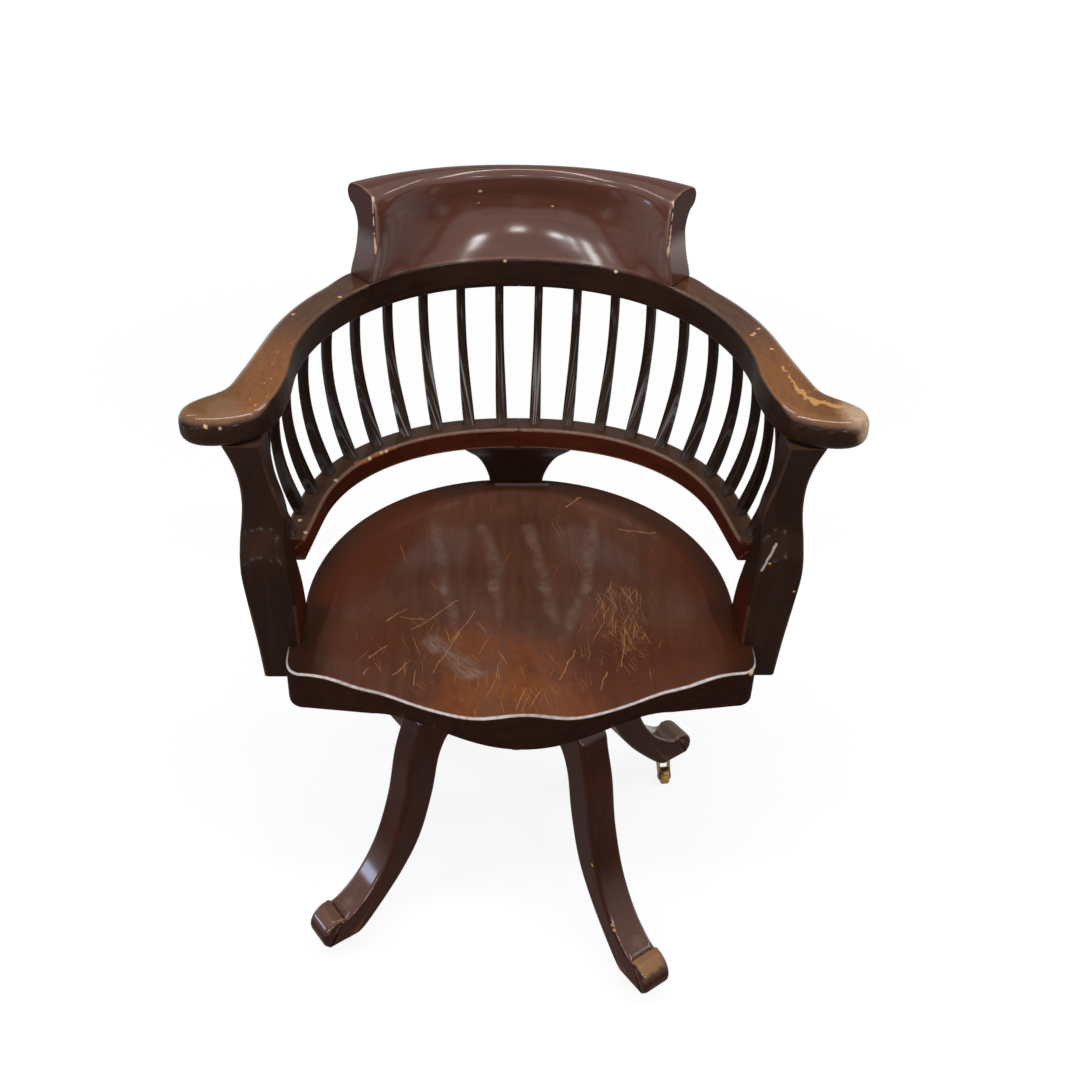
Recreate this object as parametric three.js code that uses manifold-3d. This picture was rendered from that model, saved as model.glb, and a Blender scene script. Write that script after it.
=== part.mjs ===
// Bankers swivel chair: a saddle seat with a spindled horseshoe back on a four-legged turning base.
// Millimetres, +Z up. The chair faces -Y and +X is on the right of someone who looks at its front.
// The swivel axis is the middle of every radius below; the whole chair is then set forward at the end.

import * as THREE from "three";
import { mergeVertices } from "three/addons/utils/BufferGeometryUtils.js";
import Module from "manifold-3d";

const wasm = await Module();
wasm.setup();

// Driving dimensions

const seatHeight = 456;
const seatThickness = 50;
const railRise = 106;
const railDepth = 27;
const armRise = 285;
const armThickness = 36;
const crestHeight = 108.2;
const hubClearance = 56;
const toeUnderside = 38.5;
const legReach = 290;
const seatGap = 0.3;
const runningGap = 0.3;
const overrun = 20;
const axisSetback = 15;
const baseTurn = 34.4;

// Seat: a flat rim round a hollowed saddle, with two thigh hollows and a ridge between them

const seatHalfWidth = 238;
const seatRear = 216;
const seatRoundDepth = 246;
const seatRoundness = 2.1;
const earSpread = 12;
const earLip = 16.5;
const cornerDraw = 6;
const cornerDepth = 28;
const cornerInset = 14;
const shoulderStep = 9;
const frontBulge = 54;
const frontBulgeHalf = 160;
const rimSideWidth = 27;
const rimRearWidth = 25;
const dishDepth = 15;
const dishSlope = 46;
const hollowDepth = 24;
const hollowOffset = 114;
const hollowSpread = 50;
const ridgeHeight = 17;
const ridgeSpread = 40;
const hollowStart = 70;
const hollowFull = 150;
const seatEdgeRound = 3;
const seatFootRound = 2.5;

// Arm posts: boards let into the sides of the seat, square below the shoulder and waisted above it

const postRise = 4;
const postInlet = 2;
const postThickness = 64;
const postFront = 95.5;
const postDepth = 71.5;
const postEdge = 4;

// Lower rail and arm bow: two horseshoes, each in two halves that meet behind the sitter

const railInset = 16;
const railForward = 52;
const railRoundDepth = 194;
const railRoundness = 2.25;
const railWidth = 27;
const railEdge = 2.5;
const railFrontInset = 7;

const bowSpread = 1;
const bowOverhang = 79;
const bowRoundness = 2.12;
const bowWidth = 39;
const bowDepth = 37;
const bowOuterRoundness = 2.08;
const bowEdge = 8.5;
const knuckleInset = 0.5;
const knuckleSpread = 58;

// Spindles: square at the foot and drawn in above it, bent outwards between rail and bow

const spindlesPerSide = 10;
const footClearance = 8.8;
const headClearance = 21.6;
const footSquare = 13;
const shaftSquare = 9.5;
const footInset = 17.5;
const headInset = 16;
const spindleBow = 26;
const spindleChamfer = 1.6;

// Crest rail: a hollow-backed yoke on top of the bow

const crestAngle = 43;
const crestFootDepth = 33;
const crestEndRise = 2.8;

// Centre support: a flared bracket between the rear edge of the seat and the lower rail

const supportRise = 4;
const supportInlet = 5;
const supportFootHalf = 33;
const supportHeadHalf = 67;
const supportThickness = 24;
const supportEdge = 3;

// Base: hub, four sabre legs and the iron that ties them

const hubDepth = 72;
const hubAcross = 112;
const hubBossRadius = 40;
const hubBossDepth = 14;
const hubBossEdge = 6;
const legThickness = 38;
const legEdge = 2.5;
const plateThickness = 6;
const plateRadius = 36;
const plateArmReach = 98;
const plateArmWidth = 26;

// Screw: a keyed spindle that slides in a bush, raised by a hand wheel that rests on the hub plate

const spindleRadius = 12.5;
const spindleLength = 174;
const shoulderRise = 30;
const journalRadius = 9;
const journalCover = 6;
const bushWall = 4.7;
const bushLength = 60;
const keyWidth = 4.4;
const keyDepth = 2.4;
const wheelBossRadius = 24;
const wheelBossHeight = 17.5;
const wheelRimRadius = 68;
const wheelRimWidth = 11;
const wheelRimHeight = 10;
const wheelRimRise = 2;
const wheelSpokes = 5;
const spokeWidth = 10;
const spokeHeight = 7;
const washerRadius = 20;
const washerThickness = 3;

// Seat iron: a four-armed casting under the seat

const ironThickness = 8;
const ironBossRadius = 24;
const ironArmReach = 138;
const ironArmWidth = 24;
const ironArmSpread = 37;
const ironPadRadius = 17;

// Castors: a plate and pin under each toe, a horn that swivels on the pin and a brass wheel

const castorInset = 34;
const castorPlateRadius = 14;
const castorPlateThickness = 2.4;
const castorPinRadius = 4;
const castorHeadRadius = 5.6;
const castorHeadThickness = 2;
const hornDiscRadius = 12;
const hornDiscThickness = 4;
const hornCheek = 2.6;
const hornBackReach = 8;
const hornEyeRadius = 5.5;
const castorTrail = 18;
const castorWheelRadius = 12;
const castorWheelWidth = 11;
const castorWheelRound = 1.5;
const axleRadius = 2.4;
const axleEnd = 1;
const castorHeadings = { front_right: 88, rear_right: -84, rear_left: -97, front_left: 99 };

// Smoothness of the curved pieces, in faces or steps

const roundFaces = 24;
const smallFaces = 12;
const cornerFaces = 2;
const outlineFaces = 2;
const eyeFaces = 4;
const bowEdgeFaces = 3;
const seatSteps = 22;
const seatCornerSteps = 4;
const seatFrontSteps = 12;
const bowInnerSteps = 20;
const bowOuterSteps = 16;
const railRoundSteps = 20;
const railSteps = 15;
const curveSteps = 40;
const crestSteps = 18;
const spindleSteps = 5;

// Stations and outlines as shares of the sizes above

// Post: share of its height, then inner and outer face as shares of its thickness,
// then front and back face as shares of its depth, from the foot up.
const postShares = [
  [0.0, 0.0, 0.66, 0.0, 1.0],
  [0.156, 0.0, 0.71, 0.0, 0.96],
  [0.271, 0.008, 0.76, 0.0, 0.87],
  [0.373, 0.025, 0.805, 0.0, 0.74],
  [0.475, 0.07, 0.845, 0.0, 0.66],
  [0.53, 0.1, 0.855, 0.02, 0.645],
  [0.565, 0.11, 0.85, 0.075, 0.635],
  [0.605, 0.105, 0.835, 0.165, 0.63],
  [0.655, 0.1, 0.8, 0.26, 0.64],
  [0.72, 0.145, 0.766, 0.308, 0.66],
  [0.808, 0.25, 0.765, 0.315, 0.706],
  [0.9, 0.3, 0.815, 0.245, 0.776],
  [1.0, 0.328, 0.93, 0.133, 0.86],
];

// Leg, outside from the knee down to the step in front of the toe: shares of its reach and height.
const legOuterShares = [
  [0.4, 1.0],
  [0.465, 0.9933],
  [0.503, 0.9607],
  [0.522, 0.8989],
  [0.561, 0.7753],
  [0.604, 0.5539],
  [0.679, 0.3449],
  [0.773, 0.2067],
  [0.865, 0.1337],
  [0.892, 0.1225],
];
const toeShares = [
  [0.908, 0.136],
  [0.944, 0.1303],
  [0.98, 0.1056],
  [1.0, 0.0674],
  [0.998, 0.0281],
  [0.977, 0.0],
];
const legInnerShares = [
  [0.84, 0.0],
  [0.812, 0.0157],
  [0.725, 0.1011],
  [0.61, 0.236],
  [0.52, 0.3742],
  [0.466, 0.5764],
  [0.414, 0.7787],
  [0.368, 0.8539],
  [0.3, 0.8831],
];

// Knuckle of the arm, from the outside round the front to the inside: how far it spreads beyond the
// bow's outer side, or its inner side in the second list, and how far forward it comes.
const armOuterShares = [
  [0.1362, -0.05],
  [0.332, 0.34],
  [0.4817, 0.435],
  [0.7006, 0.53],
  [0.9021, 0.635],
  [1.0, 0.75],
  [0.9597, 0.87],
  [0.7812, 0.965],
  [0.5048, 1.0],
  [0.165, 0.975],
  [-0.1575, 0.895],
  [-0.336, 0.82],
];
const armInnerShares = [
  [0.1349, 0.53],
  [0.0024, 0.12],
];

// Crest sections, in the middle and at the ends: outward reach as a share of the foot's depth, then height as a
// share of its own. In the middle the face is hollow and upright, at the ends it leans in.
const crestMiddleShares = [
  [0.0, 0.0],
  [0.14, 0.13],
  [0.27, 0.29],
  [0.33, 0.46],
  [0.27, 0.64],
  [0.09, 0.8],
  [-0.045, 0.92],
  [0.03, 0.975],
  [0.12, 1.0],
  [0.33, 0.995],
  [0.55, 0.965],
  [0.64, 0.91],
  [0.7, 0.85],
  [0.82, 0.79],
  [0.94, 0.67],
  [1.03, 0.53],
  [1.06, 0.38],
  [1.06, 0.23],
  [1.03, 0.09],
  [1.0, 0.0],
];
const crestEndShares = [
  [0.0, 0.0],
  [-0.15, 0.13],
  [-0.32, 0.29],
  [-0.455, 0.46],
  [-0.53, 0.64],
  [-0.53, 0.8],
  [-0.42, 0.92],
  [-0.18, 0.975],
  [0.18, 1.0],
  [0.61, 0.995],
  [0.85, 0.965],
  [0.92, 0.91],
  [0.88, 0.85],
  [0.65, 0.79],
  [0.515, 0.67],
  [0.515, 0.53],
  [0.59, 0.38],
  [0.73, 0.23],
  [0.91, 0.09],
  [1.0, 0.0],
];

// Centre support: share of its height, of the flare from foot to head and of the lean towards the rail.
const supportShares = [
  [0.0, 0.0, 0.0],
  [0.36, 0.0, 0.0],
  [0.46, 0.08, 0.04],
  [0.6, 0.24, 0.18],
  [0.75, 0.47, 0.42],
  [0.88, 0.76, 0.72],
  [1.0, 1.0, 1.0],
];

// Rings of the seat's top, as shares of the way out to the edge.
const seatRingShares = [0.2, 0.38, 0.54, 0.67, 0.77, 0.85, 0.92];
const seatUnderShare = 0.62;

// Other shares: pull of the curve of the seat's front, shallowing of the hollow beside the thighs,
// height at which a spindle has its full slimness, and the easing of the hand wheel's rim.
const frontPullShares = [0.68, 0.42];
const sideShallowShare = 0.45;
const taperShare = 0.6;
const rimWidthShare = 0.25;
const rimHeightShare = 0.3;

// Where the rounded part of each horseshoe ends, in degrees from the middle of the back.
const railRoundAngle = 78;
const bowInnerAngle = 83;
const bowOuterAngle = 77;

// Places that follow from the sizes above

const seatUnderside = seatHeight - seatThickness;
const seatCentre = seatRear - seatRoundDepth;
const earHalfWidth = seatHalfWidth + earSpread;
const earFront = postFront + earLip;
const cornerHalfWidth = earHalfWidth - cornerDraw;
const cornerFront = earFront + cornerDepth;
const frontShoulder = cornerFront + shoulderStep;
const frontReach = frontShoulder + frontBulge;
const dishHalfWidth = seatHalfWidth - rimSideWidth;
const dishRear = seatRear - rimRearWidth;
const postFoot = seatUnderside + postRise;
const postInner = seatHalfWidth - postInlet;
const railTop = seatHeight + railRise;
const railRear = seatRear - railForward;
const railHalfWidth = postInner - railInset;
const railFrontInner = postInner - railFrontInset;
const armHeight = seatHeight + armRise;
const bowHalfWidth = postInner + bowSpread;
const bowRear = railRear + bowOverhang;
const bowOuterHalfWidth = bowHalfWidth + bowWidth;
const bowOuterRear = bowRear + bowDepth;
const knuckleFront = postFront - knuckleInset;
const supportFlat = seatRear - supportInlet;
const hubTop = seatUnderside - hubClearance;
const spindleShoulder = hubTop + shoulderRise;
const spindleFoot = spindleShoulder - spindleLength;
const journalTop = seatUnderside - journalCover;

// Materials

const wood = (name, colour) => {
  const material = new THREE.MeshStandardMaterial({ color: colour, roughness: 0.28, metalness: 0 });
  material.name = name;
  return material;
};
const metal = (name, colour, roughness) => {
  const material = new THREE.MeshStandardMaterial({ color: colour, roughness, metalness: 1 });
  material.name = name;
  return material;
};
const darkMahogany = wood("dark_mahogany", 0x3a1e15);
const seatMahogany = wood("seat_mahogany", 0x4b261a);
const armMahogany = wood("worn_mahogany", 0x5a3620);
const castIron = metal("cast_iron", 0x26262a, 0.6);
const steel = metal("steel", 0x6d6e72, 0.4);
const brass = metal("brass", 0x9c7a3c, 0.35);

// Geometry helpers

const turn = (degrees) => THREE.MathUtils.degToRad(degrees);
const smooth = THREE.MathUtils.smoothstep;

// Turns a closed geometry's faces outwards, whichever way they were wound.
function facingOut(geometry) {
  const place = geometry.attributes.position;
  const index = geometry.index.array;
  const [a, b, c] = [new THREE.Vector3(), new THREE.Vector3(), new THREE.Vector3()];
  let volume = 0;
  for (let i = 0; i < index.length; i += 3) {
    a.fromBufferAttribute(place, index[i]);
    b.fromBufferAttribute(place, index[i + 1]);
    c.fromBufferAttribute(place, index[i + 2]);
    volume += a.dot(b.cross(c));
  }
  if (volume < 0) {
    for (let i = 0; i < index.length; i += 3) {
      [index[i], index[i + 1]] = [index[i + 1], index[i]];
    }
  }
  return geometry;
}

// Joins a geometry's split vertices, so that it is one closed skin.
function welded(geometry) {
  const plain = geometry.clone();
  plain.deleteAttribute("normal");
  plain.deleteAttribute("uv");
  return facingOut(mergeVertices(plain));
}

function solidOf(geometry) {
  const skin = welded(geometry);
  return new wasm.Manifold(new wasm.Mesh({
    numProp: 3,
    vertProperties: new Float32Array(skin.attributes.position.array),
    triVerts: new Uint32Array(skin.index.array),
  }));
}

function geometryOf(solid) {
  const mesh = solid.getMesh();
  const geometry = new THREE.BufferGeometry();
  geometry.setAttribute("position", new THREE.BufferAttribute(mesh.vertProperties, 3));
  geometry.setIndex(new THREE.BufferAttribute(mesh.triVerts, 1));
  return geometry;
}

// Skins a row of rings that have the same number of points, and closes both ends.
function loft(rings) {
  const count = rings[0].length;
  const places = rings.flat();
  const faces = [];
  for (let r = 0; r + 1 < rings.length; r++) {
    for (let i = 0; i < count; i++) {
      const a = r * count + i;
      const b = r * count + ((i + 1) % count);
      faces.push(a, b, b + count, a, b + count, a + count);
    }
  }
  for (const first of [0, (rings.length - 1) * count]) {
    const ring = places.slice(first, first + count);
    const middle = ring.reduce((sum, p) => sum.add(p), new THREE.Vector3()).divideScalar(count);
    const centre = places.push(middle) - 1;
    for (let i = 0; i < count; i++) {
      const pair = [first + i, first + ((i + 1) % count)];
      faces.push(centre, ...(first === 0 ? pair.reverse() : pair));
    }
  }
  const geometry = new THREE.BufferGeometry().setFromPoints(places);
  geometry.setIndex(faces);
  return facingOut(geometry);
}

// Extrudes an outline along +Z with its edges eased, without growing past the outline.
function board(outline, thickness, edge, steps) {
  const geometry = new THREE.ExtrudeGeometry(outline, {
    depth: thickness - 2 * edge,
    bevelThickness: edge,
    bevelSize: edge,
    bevelOffset: -edge,
    bevelSegments: steps,
    curveSegments: outlineFaces,
  });
  return geometry.translate(0, 0, edge);
}

// A rectangle with rounded corners, spanning left to right and front to back.
function roundedRing(left, right, front, back, corner, height) {
  const corners = [
    [right - corner, back - corner, 0],
    [left + corner, back - corner, 1],
    [left + corner, front + corner, 2],
    [right - corner, front + corner, 3],
  ];
  const ring = [];
  for (const [x, y, quarter] of corners) {
    for (let i = 0; i <= cornerFaces; i++) {
      const angle = (quarter + i / cornerFaces) * (Math.PI / 2);
      ring.push(new THREE.Vector3(x + corner * Math.cos(angle), y + corner * Math.sin(angle), height));
    }
  }
  return ring;
}

function upright(radius, bottom, top, faces) {
  const geometry = new THREE.CylinderGeometry(radius, radius, top - bottom, faces);
  return solidOf(geometry.rotateX(Math.PI / 2).translate(0, 0, (top + bottom) / 2));
}

// A bar that starts at the axis and points along the given heading.
function radialBar(reach, width, bottom, top, heading) {
  const geometry = new THREE.BoxGeometry(reach, width, top - bottom);
  return solidOf(geometry.translate(reach / 2, 0, (top + bottom) / 2).rotateZ(heading));
}

function box(left, right, front, back, bottom, top) {
  const geometry = new THREE.BoxGeometry(right - left, back - front, top - bottom);
  return solidOf(geometry.translate((left + right) / 2, (front + back) / 2, (bottom + top) / 2));
}

// Point of a rounded horseshoe; the angle runs from the middle of the back towards +X.
function horseshoe(halfWidth, roundDepth, centre, roundness, angle) {
  const x = halfWidth * Math.sin(angle) ** (2 / roundness);
  const y = centre + roundDepth * Math.cos(angle) ** (2 / roundness);
  return new THREE.Vector2(x, y);
}

function horseshoeRun(halfWidth, roundDepth, centre, roundness, lastAngle, steps) {
  const run = [];
  for (let i = 0; i <= steps; i++) {
    run.push(horseshoe(halfWidth, roundDepth, centre, roundness, (lastAngle * i) / steps));
  }
  return run;
}

const curveThrough = (points) =>
  new THREE.CatmullRomCurve3(points.map((p) => new THREE.Vector3(p.x, p.y, 0)), false, "centripetal");

// Place on a horseshoe curve at a distance from the middle of the back, with its outward direction.
function along(curve, distance) {
  const share = distance / curve.getLength();
  const tangent = curve.getTangentAt(share);
  const outward = new THREE.Vector3(-tangent.y, tangent.x, 0);
  return { place: curve.getPointAt(share), tangent, outward };
}

// The same horseshoe, moved outwards by an inset all along.
function offsetCurve(curve, inset) {
  const length = curve.getLength();
  const points = curve.getSpacedPoints(curveSteps).map((p, i) => {
    const { outward } = along(curve, (length * i) / curveSteps);
    return p.addScaledVector(outward, inset);
  });
  return curveThrough(points);
}

const mirrored = (geometry) => facingOut(welded(geometry.clone().scale(-1, 1, 1)));

function part(name, geometry, material) {
  const mesh = new THREE.Mesh(geometry, material.clone());
  mesh.name = name;
  return mesh;
}

const sides = ["right", "left"];
const legNames = ["front_right", "rear_right", "rear_left", "front_left"];

// Seat

function seatOutline() {
  const half = horseshoeRun(
    seatHalfWidth, seatRoundDepth, seatCentre, seatRoundness, Math.PI / 2, seatSteps,
  );
  half.push(new THREE.Vector2(earHalfWidth, -postFront));
  half.push(new THREE.Vector2(earHalfWidth, -earFront));
  const corner = new THREE.QuadraticBezierCurve(
    new THREE.Vector2(earHalfWidth, -earFront),
    new THREE.Vector2(earHalfWidth, -cornerFront),
    new THREE.Vector2(cornerHalfWidth - cornerInset, -cornerFront),
  );
  half.push(...corner.getPoints(seatCornerSteps).slice(1));
  const front = new THREE.CubicBezierCurve(
    new THREE.Vector2(frontBulgeHalf, -frontShoulder),
    new THREE.Vector2(frontBulgeHalf * frontPullShares[0], -frontShoulder),
    new THREE.Vector2(frontBulgeHalf * frontPullShares[1], -frontReach),
    new THREE.Vector2(0, -frontReach),
  );
  half.push(...front.getPoints(seatFrontSteps));
  const other = half.slice(1, -1).reverse().map((p) => new THREE.Vector2(-p.x, p.y));
  return [...half, ...other];
}

// Height of the seat's top: the hollow fades out at the rim, and the thigh hollows run out at the front.
function seatTop(x, y) {
  const side = Math.abs(x);
  const rearward = Math.max(y - seatCentre, 0) / (dishRear - seatCentre);
  const inside = (1 - Math.hypot(side / dishHalfWidth, rearward)) * dishHalfWidth;
  const fade = smooth(inside, 0, dishSlope);
  const forward = smooth(-y, -hollowStart, hollowFull);
  const hollow = Math.exp(-(((side - hollowOffset) / hollowSpread) ** 2));
  const ridge = Math.exp(-((side / ridgeSpread) ** 2));
  const beside = forward * smooth(side, hollowOffset, dishHalfWidth);
  const depth = dishDepth * (1 - sideShallowShare * beside);
  const down = depth + (hollowDepth - dishDepth) * forward * hollow - ridgeHeight * forward * ridge;
  return seatHeight - fade * down;
}

function buildSeat() {
  const outline = seatOutline();
  const middle = new THREE.Vector2(0, 0);
  const ringAt = (share, inset, height) => outline.map((p) => {
    const reach = p.distanceTo(middle);
    const q = p.clone().multiplyScalar(share * (1 - inset / reach));
    return new THREE.Vector3(q.x, q.y, height ?? seatTop(q.x, q.y));
  });
  const rings = [ringAt(seatUnderShare, 0, seatUnderside)];
  rings.push(ringAt(1, seatFootRound, seatUnderside));
  rings.push(ringAt(1, 0, seatUnderside + seatFootRound));
  rings.push(ringAt(1, 0).map((p) => p.setZ(p.z - seatEdgeRound)));
  rings.push(ringAt(1, seatEdgeRound));
  for (const share of seatRingShares.toReversed()) {
    rings.push(ringAt(share, 0));
  }
  let seat = solidOf(loft(rings));
  for (const side of [1, -1]) {
    const inner = side * (postInner - seatGap);
    const outer = side * (earHalfWidth + overrun);
    const notch = box(
      Math.min(inner, outer), Math.max(inner, outer),
      -postFront - seatGap, -postFront + postDepth + seatGap,
      seatUnderside - overrun, seatHeight + overrun,
    );
    seat = seat.subtract(notch);
  }
  const flat = box(
    -supportFootHalf - overrun, supportFootHalf + overrun,
    supportFlat, seatRear + overrun, seatUnderside - overrun, seatHeight + overrun,
  );
  return geometryOf(seat.subtract(flat));
}

// Arm posts

function buildPost() {
  const height = armHeight - armThickness - seatGap - postFoot;
  const rings = postShares.map(([rise, inner, outer, front, back]) => roundedRing(
    postInner + inner * postThickness, postInner + outer * postThickness,
    -postFront + front * postDepth, -postFront + back * postDepth,
    postEdge, postFoot + rise * height,
  ));
  return loft(rings);
}

// Lower rail

const postBackAtRail = -postFront + postShares[4][4] * postDepth;
const railCentre = railRear - railRoundDepth;
const railCurve = curveThrough([
  ...horseshoeRun(
    railHalfWidth, railRoundDepth, railCentre, railRoundness, turn(railRoundAngle), railRoundSteps,
  ),
  new THREE.Vector2(railFrontInner, postBackAtRail + seatGap),
]);

function buildRail() {
  const rings = [];
  const length = railCurve.getLength();
  for (let i = 0; i <= railSteps; i++) {
    const section = roundedRing(0, railWidth, 0, railDepth, railEdge, 0);
    const { place, outward } = along(railCurve, (length * i) / railSteps);
    const squared = i === 0 ? new THREE.Vector3(0, 1, 0) : outward;
    const start = i === 0 ? place.setX(seatGap / 2) : place;
    rings.push(section.map((p) => new THREE.Vector3(
      start.x + squared.x * p.x, start.y + squared.y * p.x, railTop - railDepth + p.y,
    )));
  }
  return trimmedAtPost(loft(rings));
}

// Squares the front end of a rail against the back of its post.
function trimmedAtPost(geometry) {
  const end = postBackAtRail + seatGap;
  const beyond = box(
    railHalfWidth - overrun, earHalfWidth + overrun + railWidth,
    end - overrun, end + seatGap, railTop - railDepth - overrun, railTop + overrun,
  );
  return geometryOf(solidOf(geometry).subtract(beyond));
}

// Arm bow: flat-topped, with its front end swept out into a rounded knuckle

const bowInnerRun = horseshoeRun(bowHalfWidth, bowRear, 0, bowRoundness, turn(bowInnerAngle), bowInnerSteps);
const armInnerRun = armInnerShares.toReversed().map(([x, y]) =>
  new THREE.Vector2(bowHalfWidth + x * knuckleSpread, -y * knuckleFront));
const armOuterRun = armOuterShares.toReversed().map(([x, y]) =>
  new THREE.Vector2(bowOuterHalfWidth + x * knuckleSpread, -y * knuckleFront));
const bowCurve = curveThrough([...bowInnerRun, ...armInnerRun]);

function buildBow() {
  const outer = horseshoeRun(
    bowOuterHalfWidth, bowOuterRear, 0, bowOuterRoundness, turn(bowOuterAngle), bowOuterSteps,
  ).reverse();
  const shape = new THREE.Shape();
  shape.moveTo(-overrun, bowRear);
  for (const p of bowInnerRun) {
    shape.lineTo(p.x, p.y);
  }
  shape.splineThru(armInnerRun);
  shape.splineThru(armOuterRun);
  for (const p of outer) {
    shape.lineTo(p.x, p.y);
  }
  shape.lineTo(-overrun, bowOuterRear);
  const blank = board(shape, armThickness, bowEdge, bowEdgeFaces).translate(0, 0, armHeight - armThickness);
  const joint = box(
    -2 * overrun, seatGap / 2, bowRear - overrun, bowOuterRear + overrun,
    armHeight - armThickness - overrun, armHeight + overrun,
  );
  return geometryOf(solidOf(blank).subtract(joint));
}

// Crest rail

function buildCrest() {
  const foot = armHeight + seatGap;
  const rings = [];
  for (let i = 0; i <= crestSteps; i++) {
    const angle = turn(crestAngle) * ((2 * i) / crestSteps - 1);
    const inner = bowRadiusAt(Math.abs(angle));
    const endward = (angle / turn(crestAngle)) ** 2;
    const height = crestHeight + crestEndRise * endward;
    rings.push(crestMiddleShares.map(([out, rise], k) => {
      const [endOut, endRise] = crestEndShares[k];
      const radius = inner + (out + (endOut - out) * endward) * crestFootDepth;
      const top = foot + (rise + (endRise - rise) * endward) * height;
      return new THREE.Vector3(radius * Math.sin(angle), radius * Math.cos(angle), top);
    }));
  }
  return loft(rings);
}

// Distance from the swivel axis to the inner face of the bow in a direction from the middle of the back.
function bowRadiusAt(angle) {
  const across = Math.sin(angle) / bowHalfWidth;
  const behind = Math.cos(angle) / bowRear;
  return (across ** bowRoundness + behind ** bowRoundness) ** (-1 / bowRoundness);
}

// Spindles

const footCurve = offsetCurve(railCurve, footInset);
const headCurve = offsetCurve(bowCurve, headInset);
const footSpacing = (footCurve.getLength() - footClearance) / (spindlesPerSide - 0.5);
const headSpacing = (headCurve.getLength() - headClearance) / (spindlesPerSide - 0.5);

function buildSpindle(order) {
  const foot = along(footCurve, (order + 0.5) * footSpacing);
  const head = along(headCurve, (order + 0.5) * headSpacing);
  const bottom = railTop + seatGap;
  const top = armHeight - armThickness - seatGap;
  const bend = foot.place.clone().add(head.place).multiplyScalar(0.5);
  bend.addScaledVector(foot.outward.clone().add(head.outward).normalize(), spindleBow);
  const path = new THREE.QuadraticBezierCurve3(
    foot.place.setZ(bottom), bend.setZ((bottom + top) / 2), head.place.setZ(top),
  );
  const rings = [];
  for (let i = 0; i <= spindleSteps; i++) {
    const share = i / spindleSteps;
    const centre = path.getPoint(share);
    const across = foot.tangent.clone().lerp(head.tangent, share).normalize();
    const outward = foot.outward.clone().lerp(head.outward, share).normalize();
    const half = (footSquare + (shaftSquare - footSquare) * smooth(share, 0, taperShare)) / 2;
    rings.push(chamferedSquare(half).map(([a, b]) =>
      centre.clone().addScaledVector(across, a).addScaledVector(outward, b)));
  }
  return loft(rings);
}

function chamferedSquare(half) {
  const near = half - spindleChamfer;
  return [
    [half, near], [near, half], [-near, half], [-half, near],
    [-half, -near], [-near, -half], [near, -half], [half, -near],
  ];
}

// Centre support

function buildSupport() {
  const bottom = seatUnderside + supportRise;
  const top = railTop - railDepth - seatGap;
  const footFront = supportFlat + seatGap;
  const lean = footFront - railRear;
  const rings = supportShares.map(([rise, flare, forward]) => {
    const half = supportFootHalf + flare * (supportHeadHalf - supportFootHalf);
    const front = footFront - forward * lean;
    return roundedRing(-half, half, front, front + supportThickness, supportEdge, bottom + rise * (top - bottom));
  });
  return loft(rings);
}

// Base

function buildHub() {
  const circumradius = hubAcross / 2 / Math.cos(Math.PI / 8);
  const block = new THREE.CylinderGeometry(circumradius, circumradius, hubDepth, 8);
  block.rotateX(Math.PI / 2).rotateZ(Math.PI / 8).translate(0, 0, hubTop - hubDepth / 2);
  const under = hubTop - hubDepth;
  const boss = new THREE.LatheGeometry([
    new THREE.Vector2(0, under + hubBossEdge),
    new THREE.Vector2(hubBossRadius + hubBossEdge, under + hubBossEdge),
    new THREE.Vector2(hubBossRadius + hubBossEdge, under - hubBossEdge / 2),
    new THREE.Vector2(hubBossRadius, under - hubBossEdge),
    new THREE.Vector2(hubBossRadius - hubBossEdge / 2, under - hubBossDepth),
    new THREE.Vector2(0, under - hubBossDepth),
  ], roundFaces).rotateX(Math.PI / 2);
  const bore = upright(bushOuter + seatGap, under - hubBossDepth - overrun, hubTop + overrun, roundFaces);
  return geometryOf(solidOf(block).add(solidOf(boss)).subtract(bore));
}

function buildLeg() {
  const height = hubTop - toeUnderside;
  const scaled = ([r, z]) => new THREE.Vector2(r * legReach, toeUnderside + z * height);
  const root = hubAcross / 2 + seatGap;
  const shape = new THREE.Shape();
  shape.moveTo(root, hubTop);
  shape.lineTo(...scaled(legOuterShares[0]).toArray());
  shape.splineThru(legOuterShares.slice(1).map(scaled));
  for (const p of toeShares.map(scaled)) {
    shape.lineTo(p.x, p.y);
  }
  shape.lineTo(...scaled(legInnerShares[0]).toArray());
  shape.splineThru(legInnerShares.slice(1).map(scaled));
  shape.lineTo(root, scaled(legInnerShares.at(-1)).y);
  const leg = board(shape, legThickness, legEdge, 1);
  // The outline is drawn as reach and height; stand it up so that it points along -Y.
  return welded(leg.translate(0, 0, -legThickness / 2).rotateX(Math.PI / 2).rotateZ(-Math.PI / 2));
}

const bushOuter = spindleRadius + runningGap + bushWall;
const plateTop = hubTop + seatGap + plateThickness;

function buildHubPlate() {
  let plate = upright(plateRadius, hubTop + seatGap, plateTop, roundFaces);
  for (let i = 0; i < legNames.length; i++) {
    const bar = radialBar(plateArmReach, plateArmWidth, hubTop + seatGap, plateTop, (i * Math.PI) / 2);
    plate = plate.add(bar);
  }
  const bore = upright(spindleRadius + runningGap, hubTop - overrun, plateTop + overrun, roundFaces);
  return geometryOf(plate.subtract(bore));
}

function buildBush() {
  const bottom = hubTop - bushLength;
  const bore = spindleRadius + runningGap;
  const sleeve = upright(bushOuter, bottom, hubTop, roundFaces)
    .subtract(upright(bore, bottom - overrun, hubTop + overrun, roundFaces));
  const key = box(
    -keyWidth / 2, keyWidth / 2, -bore - bushWall / 2, -spindleRadius + keyDepth, bottom, hubTop,
  );
  return geometryOf(sleeve.add(key));
}

// Screw spindle, hand wheel and washer

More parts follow.
